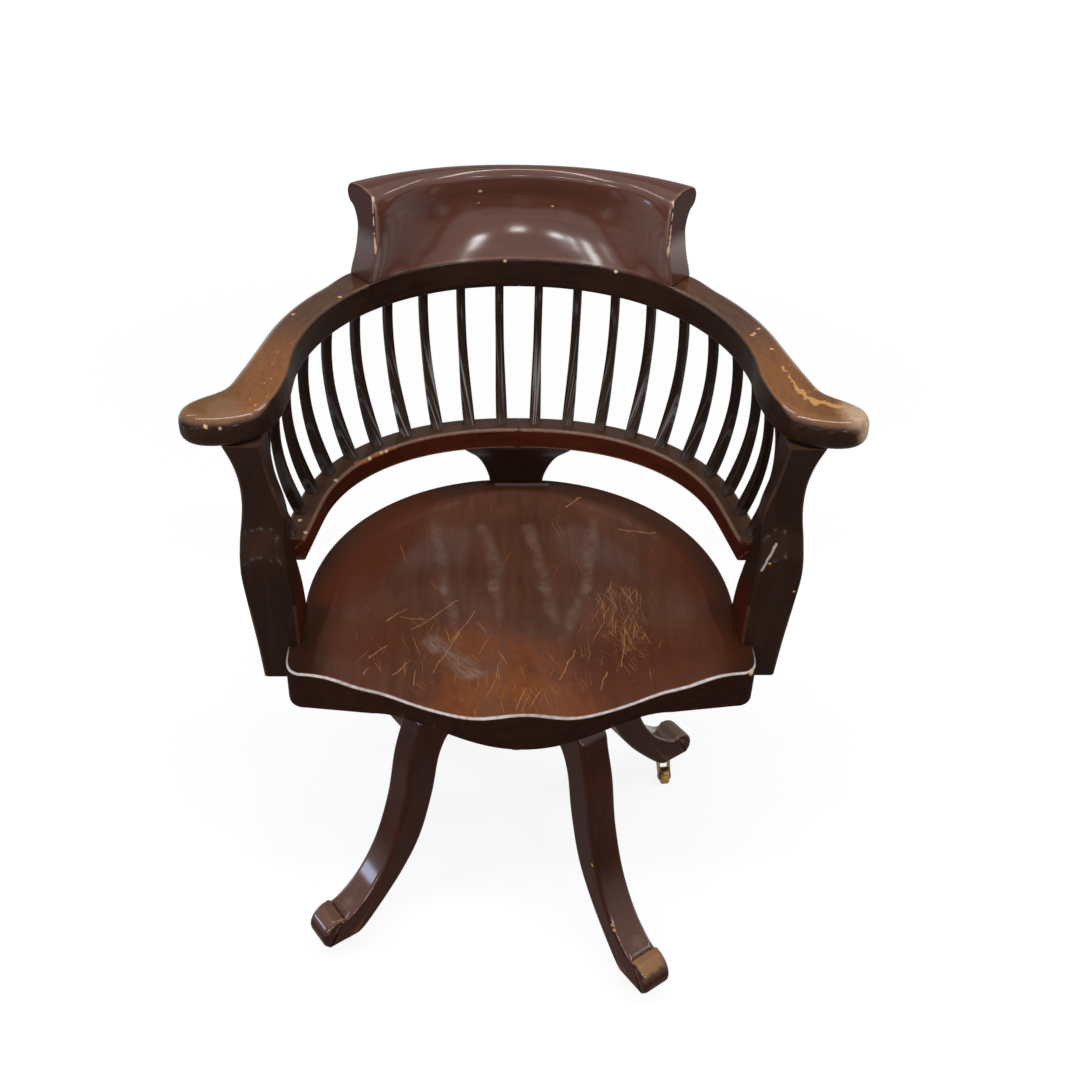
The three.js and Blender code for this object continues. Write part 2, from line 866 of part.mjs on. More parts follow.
function buildSpindleScrew() {
  const screw = upright(spindleRadius, spindleFoot, spindleShoulder, roundFaces);
  const journal = upright(journalRadius, spindleShoulder - overrun, journalTop, roundFaces);
  const keyway = box(
    -keyWidth / 2 - runningGap, keyWidth / 2 + runningGap,
    -spindleRadius - overrun, -spindleRadius + keyDepth + runningGap,
    spindleFoot - overrun, spindleShoulder - keyWidth,
  );
  return geometryOf(screw.add(journal).subtract(keyway));
}

const wheelFoot = plateTop + seatGap;

function buildHandWheel() {
  const rimBottom = wheelFoot + wheelRimRise;
  const rimTop = rimBottom + wheelRimHeight;
  const rimInner = wheelRimRadius - wheelRimWidth;
  const rimEaseWidth = wheelRimWidth * rimWidthShare;
  const rimEaseHeight = wheelRimHeight * rimHeightShare;
  let wheel = upright(wheelBossRadius, wheelFoot, wheelFoot + wheelBossHeight, roundFaces);
  const rim = new THREE.LatheGeometry([
    new THREE.Vector2(rimInner, rimBottom + rimEaseHeight),
    new THREE.Vector2(rimInner + rimEaseWidth, rimBottom),
    new THREE.Vector2(wheelRimRadius - rimEaseWidth, rimBottom),
    new THREE.Vector2(wheelRimRadius, rimBottom + rimEaseHeight),
    new THREE.Vector2(wheelRimRadius, rimTop - rimEaseHeight),
    new THREE.Vector2(wheelRimRadius - rimEaseWidth, rimTop),
    new THREE.Vector2(rimInner + rimEaseWidth, rimTop),
    new THREE.Vector2(rimInner, rimTop - rimEaseHeight),
    new THREE.Vector2(rimInner, rimBottom + rimEaseHeight),
  ], roundFaces).rotateX(Math.PI / 2);
  wheel = wheel.add(solidOf(rim));
  const spokeBottom = rimBottom + (wheelRimHeight - spokeHeight) / 2;
  for (let i = 0; i < wheelSpokes; i++) {
    const heading = (i * 2 * Math.PI) / wheelSpokes;
    const reach = wheelRimRadius - wheelRimWidth / 2;
    wheel = wheel.add(radialBar(reach, spokeWidth, spokeBottom, spokeBottom + spokeHeight, heading));
  }
  const bore = upright(
    spindleRadius + runningGap, wheelFoot - overrun, wheelFoot + wheelBossHeight + overrun, roundFaces,
  );
  return geometryOf(wheel.subtract(bore));
}

const washerTop = spindleShoulder + seatGap + washerThickness;

function buildWasher() {
  const bottom = spindleShoulder + seatGap;
  const disc = upright(washerRadius, bottom, washerTop, roundFaces);
  const bore = upright(journalRadius + runningGap, bottom - overrun, washerTop + overrun, roundFaces);
  return geometryOf(disc.subtract(bore));
}

// Seat iron

function buildSeatIron() {
  const top = seatUnderside - seatGap;
  const under = top - ironThickness;
  let iron = upright(ironBossRadius, washerTop + seatGap, top, roundFaces);
  for (const heading of [ironArmSpread, 180 - ironArmSpread, 180 + ironArmSpread, -ironArmSpread].map(turn)) {
    iron = iron.add(radialBar(ironArmReach, ironArmWidth, under, top, heading));
    const pad = upright(ironPadRadius, under, top, smallFaces);
    iron = iron.add(pad.translate(ironArmReach * Math.cos(heading), ironArmReach * Math.sin(heading), 0));
  }
  const bore = upright(journalRadius + runningGap, washerTop - overrun, journalTop + runningGap, roundFaces);
  return geometryOf(iron.subtract(bore));
}

// Castors: drawn about their pin, with the trail along +X

const castorPlateTop = toeUnderside - seatGap;
const hornTop = castorPlateTop - castorPlateThickness - seatGap;
const hornUnder = hornTop - hornDiscThickness;

function buildCastorPlate() {
  const plate = upright(castorPlateRadius, castorPlateTop - castorPlateThickness, castorPlateTop, smallFaces);
  const headTop = hornUnder - seatGap;
  const pin = upright(castorPinRadius, headTop - castorHeadThickness, castorPlateTop, smallFaces);
  const head = upright(castorHeadRadius, headTop - castorHeadThickness, headTop, smallFaces);
  return geometryOf(plate.add(pin).add(head));
}

function buildCastorHorn() {
  const inner = castorWheelWidth / 2 + runningGap;
  let horn = upright(hornDiscRadius, hornUnder, hornTop, smallFaces);
  const cheek = new THREE.Shape();
  cheek.moveTo(-hornBackReach, hornTop);
  cheek.lineTo(-hornBackReach, hornUnder - hornCheek);
  cheek.lineTo(castorTrail - hornEyeRadius, castorWheelRadius);
  cheek.absarc(castorTrail, castorWheelRadius, hornEyeRadius, Math.PI, Math.PI * 2.05, false);
  cheek.lineTo(hornBackReach, hornTop);
  for (const side of [1, -1]) {
    const plate = new THREE.ExtrudeGeometry(cheek, { depth: hornCheek, bevelEnabled: false, curveSegments: eyeFaces });
    plate.rotateX(Math.PI / 2).translate(0, side > 0 ? inner + hornCheek : -inner, 0);
    horn = horn.add(solidOf(plate));
  }
  const eyes = new THREE.CylinderGeometry(
    axleRadius + seatGap, axleRadius + seatGap, 2 * (inner + hornCheek + overrun), smallFaces,
  ).translate(castorTrail, 0, castorWheelRadius);
  const hole = upright(castorPinRadius + runningGap, hornUnder - overrun, hornTop + overrun, smallFaces);
  return geometryOf(horn.subtract(solidOf(eyes)).subtract(hole));
}

function buildCastorAxle() {
  const length = castorWheelWidth + 2 * (runningGap + hornCheek + axleEnd);
  return welded(new THREE.CylinderGeometry(axleRadius, axleRadius, length, smallFaces)
    .translate(castorTrail, 0, castorWheelRadius));
}

function buildCastorWheel() {
  const half = castorWheelWidth / 2;
  const bore = axleRadius + runningGap;
  const rim = castorWheelRadius / Math.cos(Math.PI / roundFaces);
  const profile = [
    new THREE.Vector2(bore, -half),
    new THREE.Vector2(rim - castorWheelRound, -half),
    new THREE.Vector2(rim, -half + castorWheelRound),
    new THREE.Vector2(rim, half - castorWheelRound),
    new THREE.Vector2(rim - castorWheelRound, half),
    new THREE.Vector2(bore, half),
    new THREE.Vector2(bore, -half),
  ];
  return welded(new THREE.LatheGeometry(profile, roundFaces).rotateY(Math.PI / roundFaces)
    .translate(castorTrail, 0, castorWheelRadius));
}

// Assembly

const chair = new THREE.Group();
chair.position.y = -axisSetback;

const base = new THREE.Group();
base.rotation.z = turn(baseTurn);
base.add(part("hub", buildHub(), darkMahogany));
base.add(part("hub_plate", buildHubPlate(), castIron));
base.add(part("screw_bush", buildBush(), castIron));
base.add(part("hand_wheel", buildHandWheel(), castIron));
base.add(part("spindle_screw", buildSpindleScrew(), steel));
base.add(part("thrust_washer", buildWasher(), brass));
legNames.forEach((name, i) => {
  const quarter = new THREE.Group();
  quarter.rotation.z = (i * Math.PI) / 2;
  quarter.add(part(`leg_${name}`, buildLeg(), darkMahogany));
  const castor = new THREE.Group();
  castor.position.y = castorInset - legReach;
  castor.rotation.z = turn(castorHeadings[name] - baseTurn) - quarter.rotation.z;
  castor.add(part(`castor_plate_${name}`, buildCastorPlate(), brass));
  castor.add(part(`castor_horn_${name}`, buildCastorHorn(), brass));
  castor.add(part(`castor_axle_${name}`, buildCastorAxle(), steel));
  castor.add(part(`castor_wheel_${name}`, buildCastorWheel(), brass));
  quarter.add(castor);
  base.add(quarter);
});
chair.add(base);

const top = new THREE.Group();
top.add(part("seat_iron", buildSeatIron(), castIron));
top.add(part("seat", buildSeat(), seatMahogany));
top.add(part("centre_support", buildSupport(), darkMahogany));
const sided = {
  arm_post: [buildPost(), darkMahogany],
  lower_rail: [buildRail(), darkMahogany],
  arm_bow: [buildBow(), armMahogany],
};
for (const [name, [geometry, material]] of Object.entries(sided)) {
  for (const side of sides) {
    top.add(part(`${name}_${side}`, side === "left" ? mirrored(geometry) : geometry, material));
  }
}
for (let order = 0; order < spindlesPerSide; order++) {
  const geometry = buildSpindle(order);
  for (const side of sides) {
    const shaped = side === "left" ? mirrored(geometry) : geometry;
    top.add(part(`spindle_${side}_${order + 1}`, shaped, darkMahogany));
  }
}
top.add(part("crest_rail", buildCrest(), darkMahogany));
chair.add(top);

export default chair;
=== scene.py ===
import math

import bmesh
import bpy
from mathutils import Matrix, Vector


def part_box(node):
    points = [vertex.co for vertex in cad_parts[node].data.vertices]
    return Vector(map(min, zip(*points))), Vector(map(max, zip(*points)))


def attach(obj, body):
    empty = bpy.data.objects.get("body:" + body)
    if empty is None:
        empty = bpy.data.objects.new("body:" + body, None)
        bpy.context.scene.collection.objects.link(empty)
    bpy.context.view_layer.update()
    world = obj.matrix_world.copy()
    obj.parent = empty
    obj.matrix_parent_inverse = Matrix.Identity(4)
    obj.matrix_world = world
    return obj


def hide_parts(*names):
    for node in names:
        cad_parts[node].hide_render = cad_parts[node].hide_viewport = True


# Bankers swivel chair. Metres, +Z up; the chair faces -Y and its swivel axis stands a little in front of the origin.
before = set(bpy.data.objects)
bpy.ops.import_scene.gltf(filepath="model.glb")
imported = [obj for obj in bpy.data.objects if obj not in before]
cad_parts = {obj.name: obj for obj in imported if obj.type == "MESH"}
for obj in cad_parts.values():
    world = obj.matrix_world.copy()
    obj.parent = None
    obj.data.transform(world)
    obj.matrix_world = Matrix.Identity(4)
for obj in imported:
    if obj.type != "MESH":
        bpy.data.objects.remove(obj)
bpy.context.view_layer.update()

axisAhead = 0.015
axis = Vector((0, -axisAhead, 0))
sides = ["right", "left"]
corners = ["front_right", "rear_right", "rear_left", "front_left"]
mirror = Matrix.Diagonal((-1, 1, 1, 1))

creaseAngle = 38
mergeDistance = 1e-6
# How far beyond a rounding the flats and sides get a line of points, which keeps the edge attribute off them, and how
# far inside it the ring lies that closes an end.
edgeClear, sideClear, endInset = 0.0015, 0.002, 0.001
# Half of the gap between the two halves of a bow or rail, and the gap between other pieces that touch.
halfGap = 0.00015
gap = 0.0003


# Curves and skins

def smooth(value, low, high):
    share = min(max((value - low) / (high - low), 0), 1)
    return share * share * (3 - 2 * share)


def splineThrough(points, steps):
    # A centripetal curve through the points, with that many steps between neighbours.
    points = [Vector(p) for p in points]
    result = []
    for i, (b, c) in enumerate(zip(points, points[1:])):
        a = points[i - 1] if i else b * 2 - c
        d = points[i + 2] if i + 2 < len(points) else c * 2 - b
        t1 = (b - a).length ** 0.5
        t2 = t1 + (c - b).length ** 0.5
        t3 = t2 + (d - c).length ** 0.5
        for k in range(steps):
            t = t1 + (t2 - t1) * k / steps
            ab = a.lerp(b, t / t1)
            bc = b.lerp(c, (t - t1) / (t2 - t1))
            cd = c.lerp(d, (t - t2) / (t3 - t2))
            abc = ab.lerp(bc, t / t2)
            bcd = bc.lerp(cd, (t - t1) / (t3 - t1))
            result.append(abc.lerp(bcd, (t - t1) / (t2 - t1)))
    return result + [points[-1]]


def evenly(points, count, closed=False):
    # The same line with its points spread evenly along it.
    line = points + points[:1] if closed else points
    lengths = [0]
    for a, b in zip(line, line[1:]):
        lengths.append(lengths[-1] + (b - a).length)
    result, at = [], 0
    for i in range(count):
        target = lengths[-1] * i / (count if closed else count - 1)
        while at + 2 < len(line) and lengths[at + 1] < target:
            at += 1
        span = max(lengths[at + 1] - lengths[at], 1e-9)
        result.append(line[at].lerp(line[at + 1], min(max((target - lengths[at]) / span, 0), 1)))
    return result


def horseshoe(halfWidth, depth, centre, roundness, angle):
    x = halfWidth * max(math.sin(angle), 0) ** (2 / roundness)
    return Vector((x, centre + depth * max(math.cos(angle), 0) ** (2 / roundness)))


def horseshoeRun(halfWidth, depth, centre, roundness, degrees, steps=48):
    last = math.radians(degrees)
    return [horseshoe(halfWidth, depth, centre, roundness, last * i / steps) for i in range(steps + 1)]


def quarterTurns(steps):
    # Sine and cosine at even steps over a right angle.
    angles = [math.pi / 2 * i / steps for i in range(steps + 1)]
    return [(math.sin(a), math.cos(a)) for a in angles]


def sideways(points, i, closed):
    # Unit normal on the right of a flat line at point i.
    count = len(points)
    before = points[i - 1] if closed or i else points[0]
    after = points[(i + 1) % count] if closed or i + 1 < count else points[-1]
    run = (after - before).normalized()
    return Vector((run.y, -run.x))


def drawnIn(line, inset, closed=True):
    # A flat line moved to its left, which is inwards for an outline that runs anticlockwise.
    return [p - sideways(line, i, closed) * inset for i, p in enumerate(line)]


def roundedRing(left, right, front, back, corner, steps=4):
    centres = [(right - corner, back - corner), (left + corner, back - corner),
               (left + corner, front + corner), (right - corner, front + corner)]
    ring = []
    for quarter, (x, y) in enumerate(centres):
        arc = []
        for i in range(steps + 1):
            angle = (quarter + i / steps) * math.pi / 2
            arc.append(Vector((x + corner * math.cos(angle), y + corner * math.sin(angle))))
        ahead = Vector((math.cos(quarter * math.pi / 2), math.sin(quarter * math.pi / 2))) * edgeClear
        ring += [arc[0] - Vector((-ahead.y, ahead.x))] + arc + [arc[-1] - ahead]
    return ring


def linked(name, mesh):
    piece = bpy.data.objects.new(name, mesh)
    bpy.context.scene.collection.objects.link(piece)
    return piece


def meshFrom(name, build):
    mesh = bpy.data.meshes.new(name)
    build.to_mesh(mesh)
    build.free()
    return mesh


def creased(mesh, crease):
    mesh.shade_smooth()
    mesh.set_sharp_from_angle(angle=math.radians(crease))
    return mesh


def finished(name, build, crease=creaseAngle):
    bmesh.ops.remove_doubles(build, verts=build.verts, dist=mergeDistance)
    bmesh.ops.recalc_face_normals(build, faces=build.faces)
    return linked(name, creased(meshFrom(name, build), crease))


def skin(name, rings, crease=creaseAngle, closed=False):
    # Skins rings that have the same number of points. Both ends are filled, unless closed joins the last to the first.
    build = bmesh.new()
    rows = [[build.verts.new(p) for p in ring] for ring in rings]
    for row, following in zip(rows, rows[1:] + rows[:1] if closed else rows[1:]):
        for i in range(len(row)):
            j = (i + 1) % len(row)
            build.faces.new((row[i], row[j], following[j], following[i]))
    if not closed:
        for row in (rows[0][::-1], rows[-1]):
            build.faces.new(row)
    return finished(name, build, crease)


def lathe(name, profile, steps=48, crease=30):
    # Turns a closed profile of radius and height about Z.
    angles = [2 * math.pi * i / steps for i in range(steps)]
    rings = [[Vector((r * math.cos(a), r * math.sin(a), z)) for r, z in profile] for a in angles]
    return skin(name, rings, crease, True)


def copied(node):
    # A merged copy of a CAD node, to be worked on.
    build = bmesh.new()
    build.from_mesh(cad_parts[node].data)
    bmesh.ops.remove_doubles(build, verts=build.verts, dist=mergeDistance)
    bmesh.ops.dissolve_limit(build, angle_limit=math.radians(1), verts=build.verts, edges=build.edges)
    name = node + "_eased"
    return linked(name, creased(meshFrom(name, build), creaseAngle))


def moved(piece, matrix, name):
    # A copy of a piece under a matrix; the faces of a mirror image are turned round.
    mesh = piece.data.copy()
    mesh.transform(matrix)
    if matrix.determinant() < 0:
        mesh.flip_normals()
    return linked(name, mesh)


def applied(piece):
    graph = bpy.context.evaluated_depsgraph_get()
    mesh = bpy.data.meshes.new_from_object(piece.evaluated_get(graph))
    old = piece.data
    piece.modifiers.clear()
    piece.data = mesh
    bpy.data.meshes.remove(old)
    mesh.name = piece.name
    return piece


def bevelled(piece, width):
    bevel = piece.modifiers.new("eased edges", "BEVEL")
    bevel.width = width
    bevel.segments = 2
    bevel.limit_method = "ANGLE"
    bevel.angle_limit = math.radians(creaseAngle)
    return applied(piece)


def carved(piece, boxes):
    # Cuts boxes, given by their lowest and highest corners, out of a piece.
    build = bmesh.new()
    for low, high in boxes:
        middle = (Vector(low) + Vector(high)) / 2
        size = Vector(high) - Vector(low)
        place = Matrix.Translation(middle) @ Matrix.Diagonal((*size, 1))
        bmesh.ops.create_cube(build, size=1, matrix=place)
    cutter = linked("cutter", meshFrom("cutter", build))
    cut = piece.modifiers.new("cut", "BOOLEAN")
    cut.operation = "DIFFERENCE"
    cut.solver = "EXACT"
    cut.object = cutter
    applied(piece)
    bpy.data.meshes.remove(cutter.data)
    return piece


def markEdges(piece, low=110, high=300):
    # A point attribute: 1 where the surface bends outwards sharply, 0 where it is flat or hollow.
    mesh = piece.data
    build = bmesh.new()
    build.from_mesh(mesh)
    build.normal_update()
    values = []
    for v in build.verts:
        bend = 0
        for e in v.link_edges:
            run = e.other_vert(v).co - v.co
            if run.length > 1e-5:
                bend = max(bend, (e.other_vert(v).normal - v.normal).dot(run) / run.length_squared)
        values.append(smooth(bend, low, high))
    build.free()
    mesh.attributes.new("edge", "FLOAT", "POINT").data.foreach_set("value", values)


def stands(piece, body, material, slot, *nodes):
    # Gives a piece its material and says which body it rides on and which nodes it replaces.
    markEdges(piece)
    piece.data.materials.clear()
    piece.data.materials.append(material)
    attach(piece, body)
    if nodes:
        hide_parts(*nodes)
    return piece


def standsTwice(right, material, slot, node):
    # A piece on the right and its mirror image on the left, both on the seat.
    left = moved(right, mirror, right.name.replace("right", "left"))
    stands(left, "seat", material, slot, node + "_left")
    stands(right, "seat", material, slot, node + "_right")


# Node trees: sums on sockets are written as Python sums

class Wire:
    def __init__(self, nodes, socket):
        self.nodes, self.socket = nodes, socket

    def sum(self, operation, *others, flipped=False, clamp=False):
        parts = [self, *others][::-1] if flipped else [self, *others]
        settings = {"operation": operation, "use_clamp": clamp}
        return self.nodes.add("ShaderNodeMath", settings, dict(enumerate(parts))).out(0)

    def __add__(self, other): return self.sum("ADD", other)
    def __radd__(self, other): return self.sum("ADD", other)
    def __sub__(self, other): return self.sum("SUBTRACT", other)
    def __rsub__(self, other): return self.sum("SUBTRACT", other, flipped=True)
    def __mul__(self, other): return self.sum("MULTIPLY", other)
    def __rmul__(self, other): return self.sum("MULTIPLY", other)
    def __pow__(self, other): return self.sum("POWER", other)
    def __rpow__(self, other): return self.sum("POWER", other, flipped=True)
    def __neg__(self): return self.sum("MULTIPLY", -1)
    def size(self): return self.sum("ABSOLUTE")
    def most(self, other): return self.sum("MAXIMUM", other)
    def clamped(self): return self.sum("ADD", 0, clamp=True)

    def between(self, low, high):
        # 0 below low and 1 above high, eased; low may be the larger one.
        settings = {"interpolation_type": "SMOOTHSTEP"}
        return self.nodes.add("ShaderNodeMapRange", settings, {0: self, 1: low, 2: high, 3: 0, 4: 1}).out(0)


class Added:
    def __init__(self, nodes, node):
        self.nodes, self.node = nodes, node

    def out(self, which=0):
        return Wire(self.nodes, self.node.outputs[which])


class Nodes:
    # A tree whose nodes are all added by one method.
    def __init__(self, tree):
        self.tree = tree
        tree.nodes.clear()

    def add(self, kind, settings, sockets):
        # Settings first, then the values or links of the sockets, by name or number.
        node = self.tree.nodes.new(kind)
        for key, value in settings.items():
            setattr(node, key, value)
        for key, value in sockets.items():
            self.give(node.inputs[key], value)
        return Added(self, node)

    def give(self, socket, value):
        if isinstance(value, Wire):
            self.tree.links.new(value.socket, socket)
        elif isinstance(value, tuple) and len(value) == 3 and socket.type == "RGBA":
            socket.default_value = (*value, 1)
        else:
            socket.default_value = value

    def vector(self, x, y, z):
        return self.add("ShaderNodeCombineXYZ", {}, {0: x, 1: y, 2: z}).out(0)

    def vectors(self, operation, first, second, out=0):
        return self.add("ShaderNodeVectorMath", {"operation": operation}, {0: first, 1: second}).out(out)

    def scaled(self, vector, amount):
        return self.add("ShaderNodeVectorMath", {"operation": "SCALE"}, {0: vector, "Scale": amount}).out(0)

    def split(self, vector):
        parts = self.add("ShaderNodeSeparateXYZ", {}, {0: vector})
        return parts.out(0), parts.out(1), parts.out(2)

    def blend(self, share, first, second, how="MIX"):
        settings = {"data_type": "RGBA", "blend_type": how, "clamp_factor": True}
        return self.add("ShaderNodeMix", settings, {0: share, 6: first, 7: second}).out(2)

    def noise(self, vector, scale, detail=3.0, roughness=0.55, distortion=0.0, out=0):
        sockets = {"Vector": vector, "Scale": scale, "Detail": detail, "Roughness": roughness, "Distortion": distortion}
        return self.add("ShaderNodeTexNoise", {}, sockets).out(out)

    def seen(self):
        # 1 where the eye, a mirror or a glass looks, 0 for the light that falls on things.
        path = self.add("ShaderNodeLightPath", {}, {})
        return path.out("Is Camera Ray").most(path.out("Is Glossy Ray")).most(path.out("Is Transmission Ray"))


class Finish(Nodes):
    # A material that is built up in layers, in its pieces' own coordinates, which are the chair's.
    def __init__(self, name):
        self.material = bpy.data.materials.new(name)
        self.material.use_nodes = True
        super().__init__(self.material.node_tree)
        self.shader = self.add("ShaderNodeBsdfPrincipled", {}, {})
        self.add("ShaderNodeOutputMaterial", {}, {0: self.shader.out(0)})
        self.place = self.add("ShaderNodeTexCoord", {}, {}).out("Object")
        self.x, self.y, self.z = self.split(self.place)
        self.coat = None

    def near(self, x, y, z, inner, outer, place=None):
        # 1 within the inner distance of a point of the chair, 0 beyond the outer one.
        return self.vectors("DISTANCE", place or self.place, (x, y, z), "Value").between(outer, inner)

    def line(self, start, end, inner, outer, place=None):
        # 1 close to a straight line between two points, 0 beyond the outer distance.
        run = Vector(end) - Vector(start)
        reach = self.vectors("SUBTRACT", place or self.place, tuple(start))
        share = (self.vectors("DOT_PRODUCT", reach, tuple(run), "Value") * (1 / run.length_squared)).clamped()
        return self.vectors("DISTANCE", reach, self.scaled(tuple(run), share), "Value").between(outer, inner)

    def lines(self, ends, inner, outer, place=None):
        return gathered([self.line(start, end, inner, outer, place) for start, end in ends])

    def wavy(self, scale, amount):
        # The place, pushed about by slow noise, so that what is drawn on it isn't straight.
        push = self.vectors("SUBTRACT", self.noise(self.place, scale, 2.0, 0.5, out="Color"), (0.5, 0.5, 0.5))
        return self.vectors("ADD", self.place, self.scaled(push, amount))

    def facing(self):
        # The parts of a face's direction, in the piece's own coordinates.
        return self.split(self.add("ShaderNodeTexCoord", {}, {}).out("Normal"))

    def attribute(self, name):
        return self.add("ShaderNodeAttribute", {"attribute_name": name}, {}).out("Fac")

    def surface(self, **links):
        for name, value in links.items():
            self.give(self.shader.node.inputs[name.replace("_", " ")], value)

    def bumped(self, height, distance):
        bump = self.add("ShaderNodeBump", {}, {"Strength": 1.0, "Distance": distance, "Height": height})
        self.surface(Normal=bump.out(0))


def colour(red, green, blue):
    # Screen colour, 0 to 255, as light.
    return tuple(((v / 255 + 0.055) / 1.055) ** 2.4 if v > 10 else v / 255 / 12.92 for v in (red, green, blue))


# Wood: what all pieces share, then what each one has of its own. Its upright faces have the colour side, and those that
# look up the colour top, which is lighter partly from wear and fading and partly as painted light from above.

woodLook = {
    "grain": "z", "specular": 0.02, "roughness": 0.45, "coatRoughness": 0.13, "coatSide": 0.03, "coatTop": 0.5,
    "coatEdge": 0.4, "streak": 90.0, "cloud": 9.0, "pores": 600.0, "fine": 170.0, "waves": 45.0, "slow": 0.09,
    "contrast": 0.28, "bump": 0.0001, "rubbed": 0.4, "rubbedColour": (140, 92, 60),
}
woodKinds = {
    "dark": {"side": (38, 24, 19), "top": (62, 42, 32), "rubbed": 0.1},
    "post": {"side": (38, 22, 15), "top": (62, 40, 29), "rubbed": 0.3, "rubbedColour": (104, 74, 56), "coatTop": 0.1,
             "coatEdge": 0.0},
    "rail": {"side": (62, 25, 14), "top": (74, 52, 41), "grain": "round", "coatTop": 0.15, "rubbed": 0.45,
             "rubbedColour": (150, 118, 98)},
    # The arm's greyish rubbed colour is worn edges and, along the inner arris, a painted highlight.
    "arm": {"side": (38, 22, 15), "top": (92, 60, 42), "grain": "round", "contrast": 0.36, "streak": 140.0,
            "coatSide": 0.04, "coatTop": 0.25, "coatEdge": 0.65, "rubbedColour": (132, 108, 92)},
    "crest": {"side": (90, 52, 41), "top": (86, 48, 35), "grain": "round", "contrast": 0.18, "coatSide": 0.8,
              "coatTop": 0.2, "coatEdge": 0.8, "coatRoughness": 0.15, "specular": 0.05,
              "rubbedColour": (132, 100, 84)},
    "spindle": {"side": (32, 19, 14), "top": (50, 35, 28), "rubbed": 0.0, "coatSide": 0.05, "coatTop": 0.1,
                "coatEdge": 0.0},
    "leg": {"side": (52, 24, 15), "top": (80, 46, 34), "grain": "leg", "coatSide": 0.05, "coatTop": 0.4},
    "seat": {"side": (40, 21, 15), "top": (92, 57, 44), "grain": "y", "contrast": 0.24, "coatTop": 0.32,
             "coatRoughness": 0.2, "specular": 0.0, "rubbed": 0.2},
}
grainLook = {"round": 0.25, "legAlong": 0.86, "legAcross": 0.5, "legRound": 0.2}


def aroundAxis(finish):
    # Distance from the swivel axis and turn about it, from straight behind.
    x, y = finish.x, finish.y + axisAhead
    return (x * x + y * y) ** 0.5, x.sum("ARCTAN2", y)


def grain(finish, along, slow):
    # Coordinates that change slowly along the grain.
    g = grainLook
    if along in ("round", "leg"):
        radius, turn = aroundAxis(finish)
        if along == "round":
            return finish.vector(turn * g["round"] * slow, radius, finish.z)
        down = finish.z * g["legAlong"] - radius * g["legAcross"]
        return finish.vector(down * slow, radius * g["legAlong"] + finish.z * g["legAcross"], turn * g["legRound"])
    y = finish.y + axisAhead
    return finish.vector(finish.x, y * slow, finish.z) if along == "y" else finish.vector(finish.x, y, finish.z * slow)


def wood(kind, rubbedWhere=None):
    # Polished mahogany with grain and clouds, and its edges rubbed where rubbedWhere is 1.
    look = {**woodLook, **woodKinds[kind]}
    finish = Finish(kind + " mahogany")
    finish.surface(Specular_IOR_Level=look["specular"], Coat_Roughness=look["coatRoughness"])
    vector = grain(finish, look["grain"], look["slow"])
    streak = finish.noise(vector, look["streak"], 4.0, 0.6, 0.4)
    cloud = finish.cloud = finish.noise(finish.place, look["cloud"], 3.0)
    pores = finish.noise(vector, look["pores"], 2.0, 0.6).between(0.6, 0.75)
    fine = finish.fine = finish.noise(finish.place, look["fine"], 4.0, 0.65)
    upward = finish.facing()[2]
    up = finish.up = upward.between(0.3, 0.85)
    shade = (streak * 0.55 + cloud * 0.45).between(0.3, 0.7) * (2 * look["contrast"]) + (1 - look["contrast"])
    # Painted light in part: faces that look up take the lighter top colour and upright faces the darker side colour, as
    # wear and fading and as light falling from above.
    fadedAndLitTone = finish.blend(up, colour(*look["side"]), colour(*look["top"]))
    finish.colour = finish.blend(1.0, fadedAndLitTone, shade - pores * 0.12, "MULTIPLY")
    finish.rough = look["roughness"] + (fine - 0.5) * 0.15
    coat = up * (look["coatTop"] - look["coatSide"]) + look["coatSide"] - (cloud - 0.5) * up * 0.3
    finish.coat = coat + upward.between(0.3, 0.55) * upward.between(0.985, 0.92) * look["coatEdge"]
    finish.height = pores * -0.4 + streak * 0.2 + finish.noise(finish.place, look["waves"], 3.0) * 0.5
    finish.depth = look["bump"]
    finish.edge = finish.attribute("edge")
    if rubbedWhere:
        finish.edge = finish.edge * rubbedWhere(finish)
    rub = (finish.edge + (fine - 0.5) * 0.8).between(0.5, 1.1) * look["rubbed"]
    return worn(finish, rub, look["rubbedColour"], 0.45, 0.4)


def worn(finish, share, bare, rough=0.5, dull=0.8):
    # Where the share is 1 the colour is bare and the polish dull. The same layering also lays on painted highlights and
    # painted shade, where the colour given stands for light.
    finish.colour = finish.blend(share, finish.colour, colour(*bare))
    finish.rough = finish.rough + (rough - finish.rough) * share
    finish.coat = finish.coat * (1 - share * dull)
    return finish


def ragged(finish, share, low, high, amount=0.9):
    return (share + (finish.fine - 0.5) * amount).between(low, high)


def gathered(shares):
    total = shares[0]
    for share in shares[1:]:
        total = total.most(share)
    return total


def chipped(finish, places, bare, size=(0.0006, 0.0022)):
    # Small chips at given places, with ragged outlines.
    wavy = finish.wavy(420.0, 0.003)
    for place in places:
        worn(finish, finish.near(*place, *size, wavy), bare)
    return finish


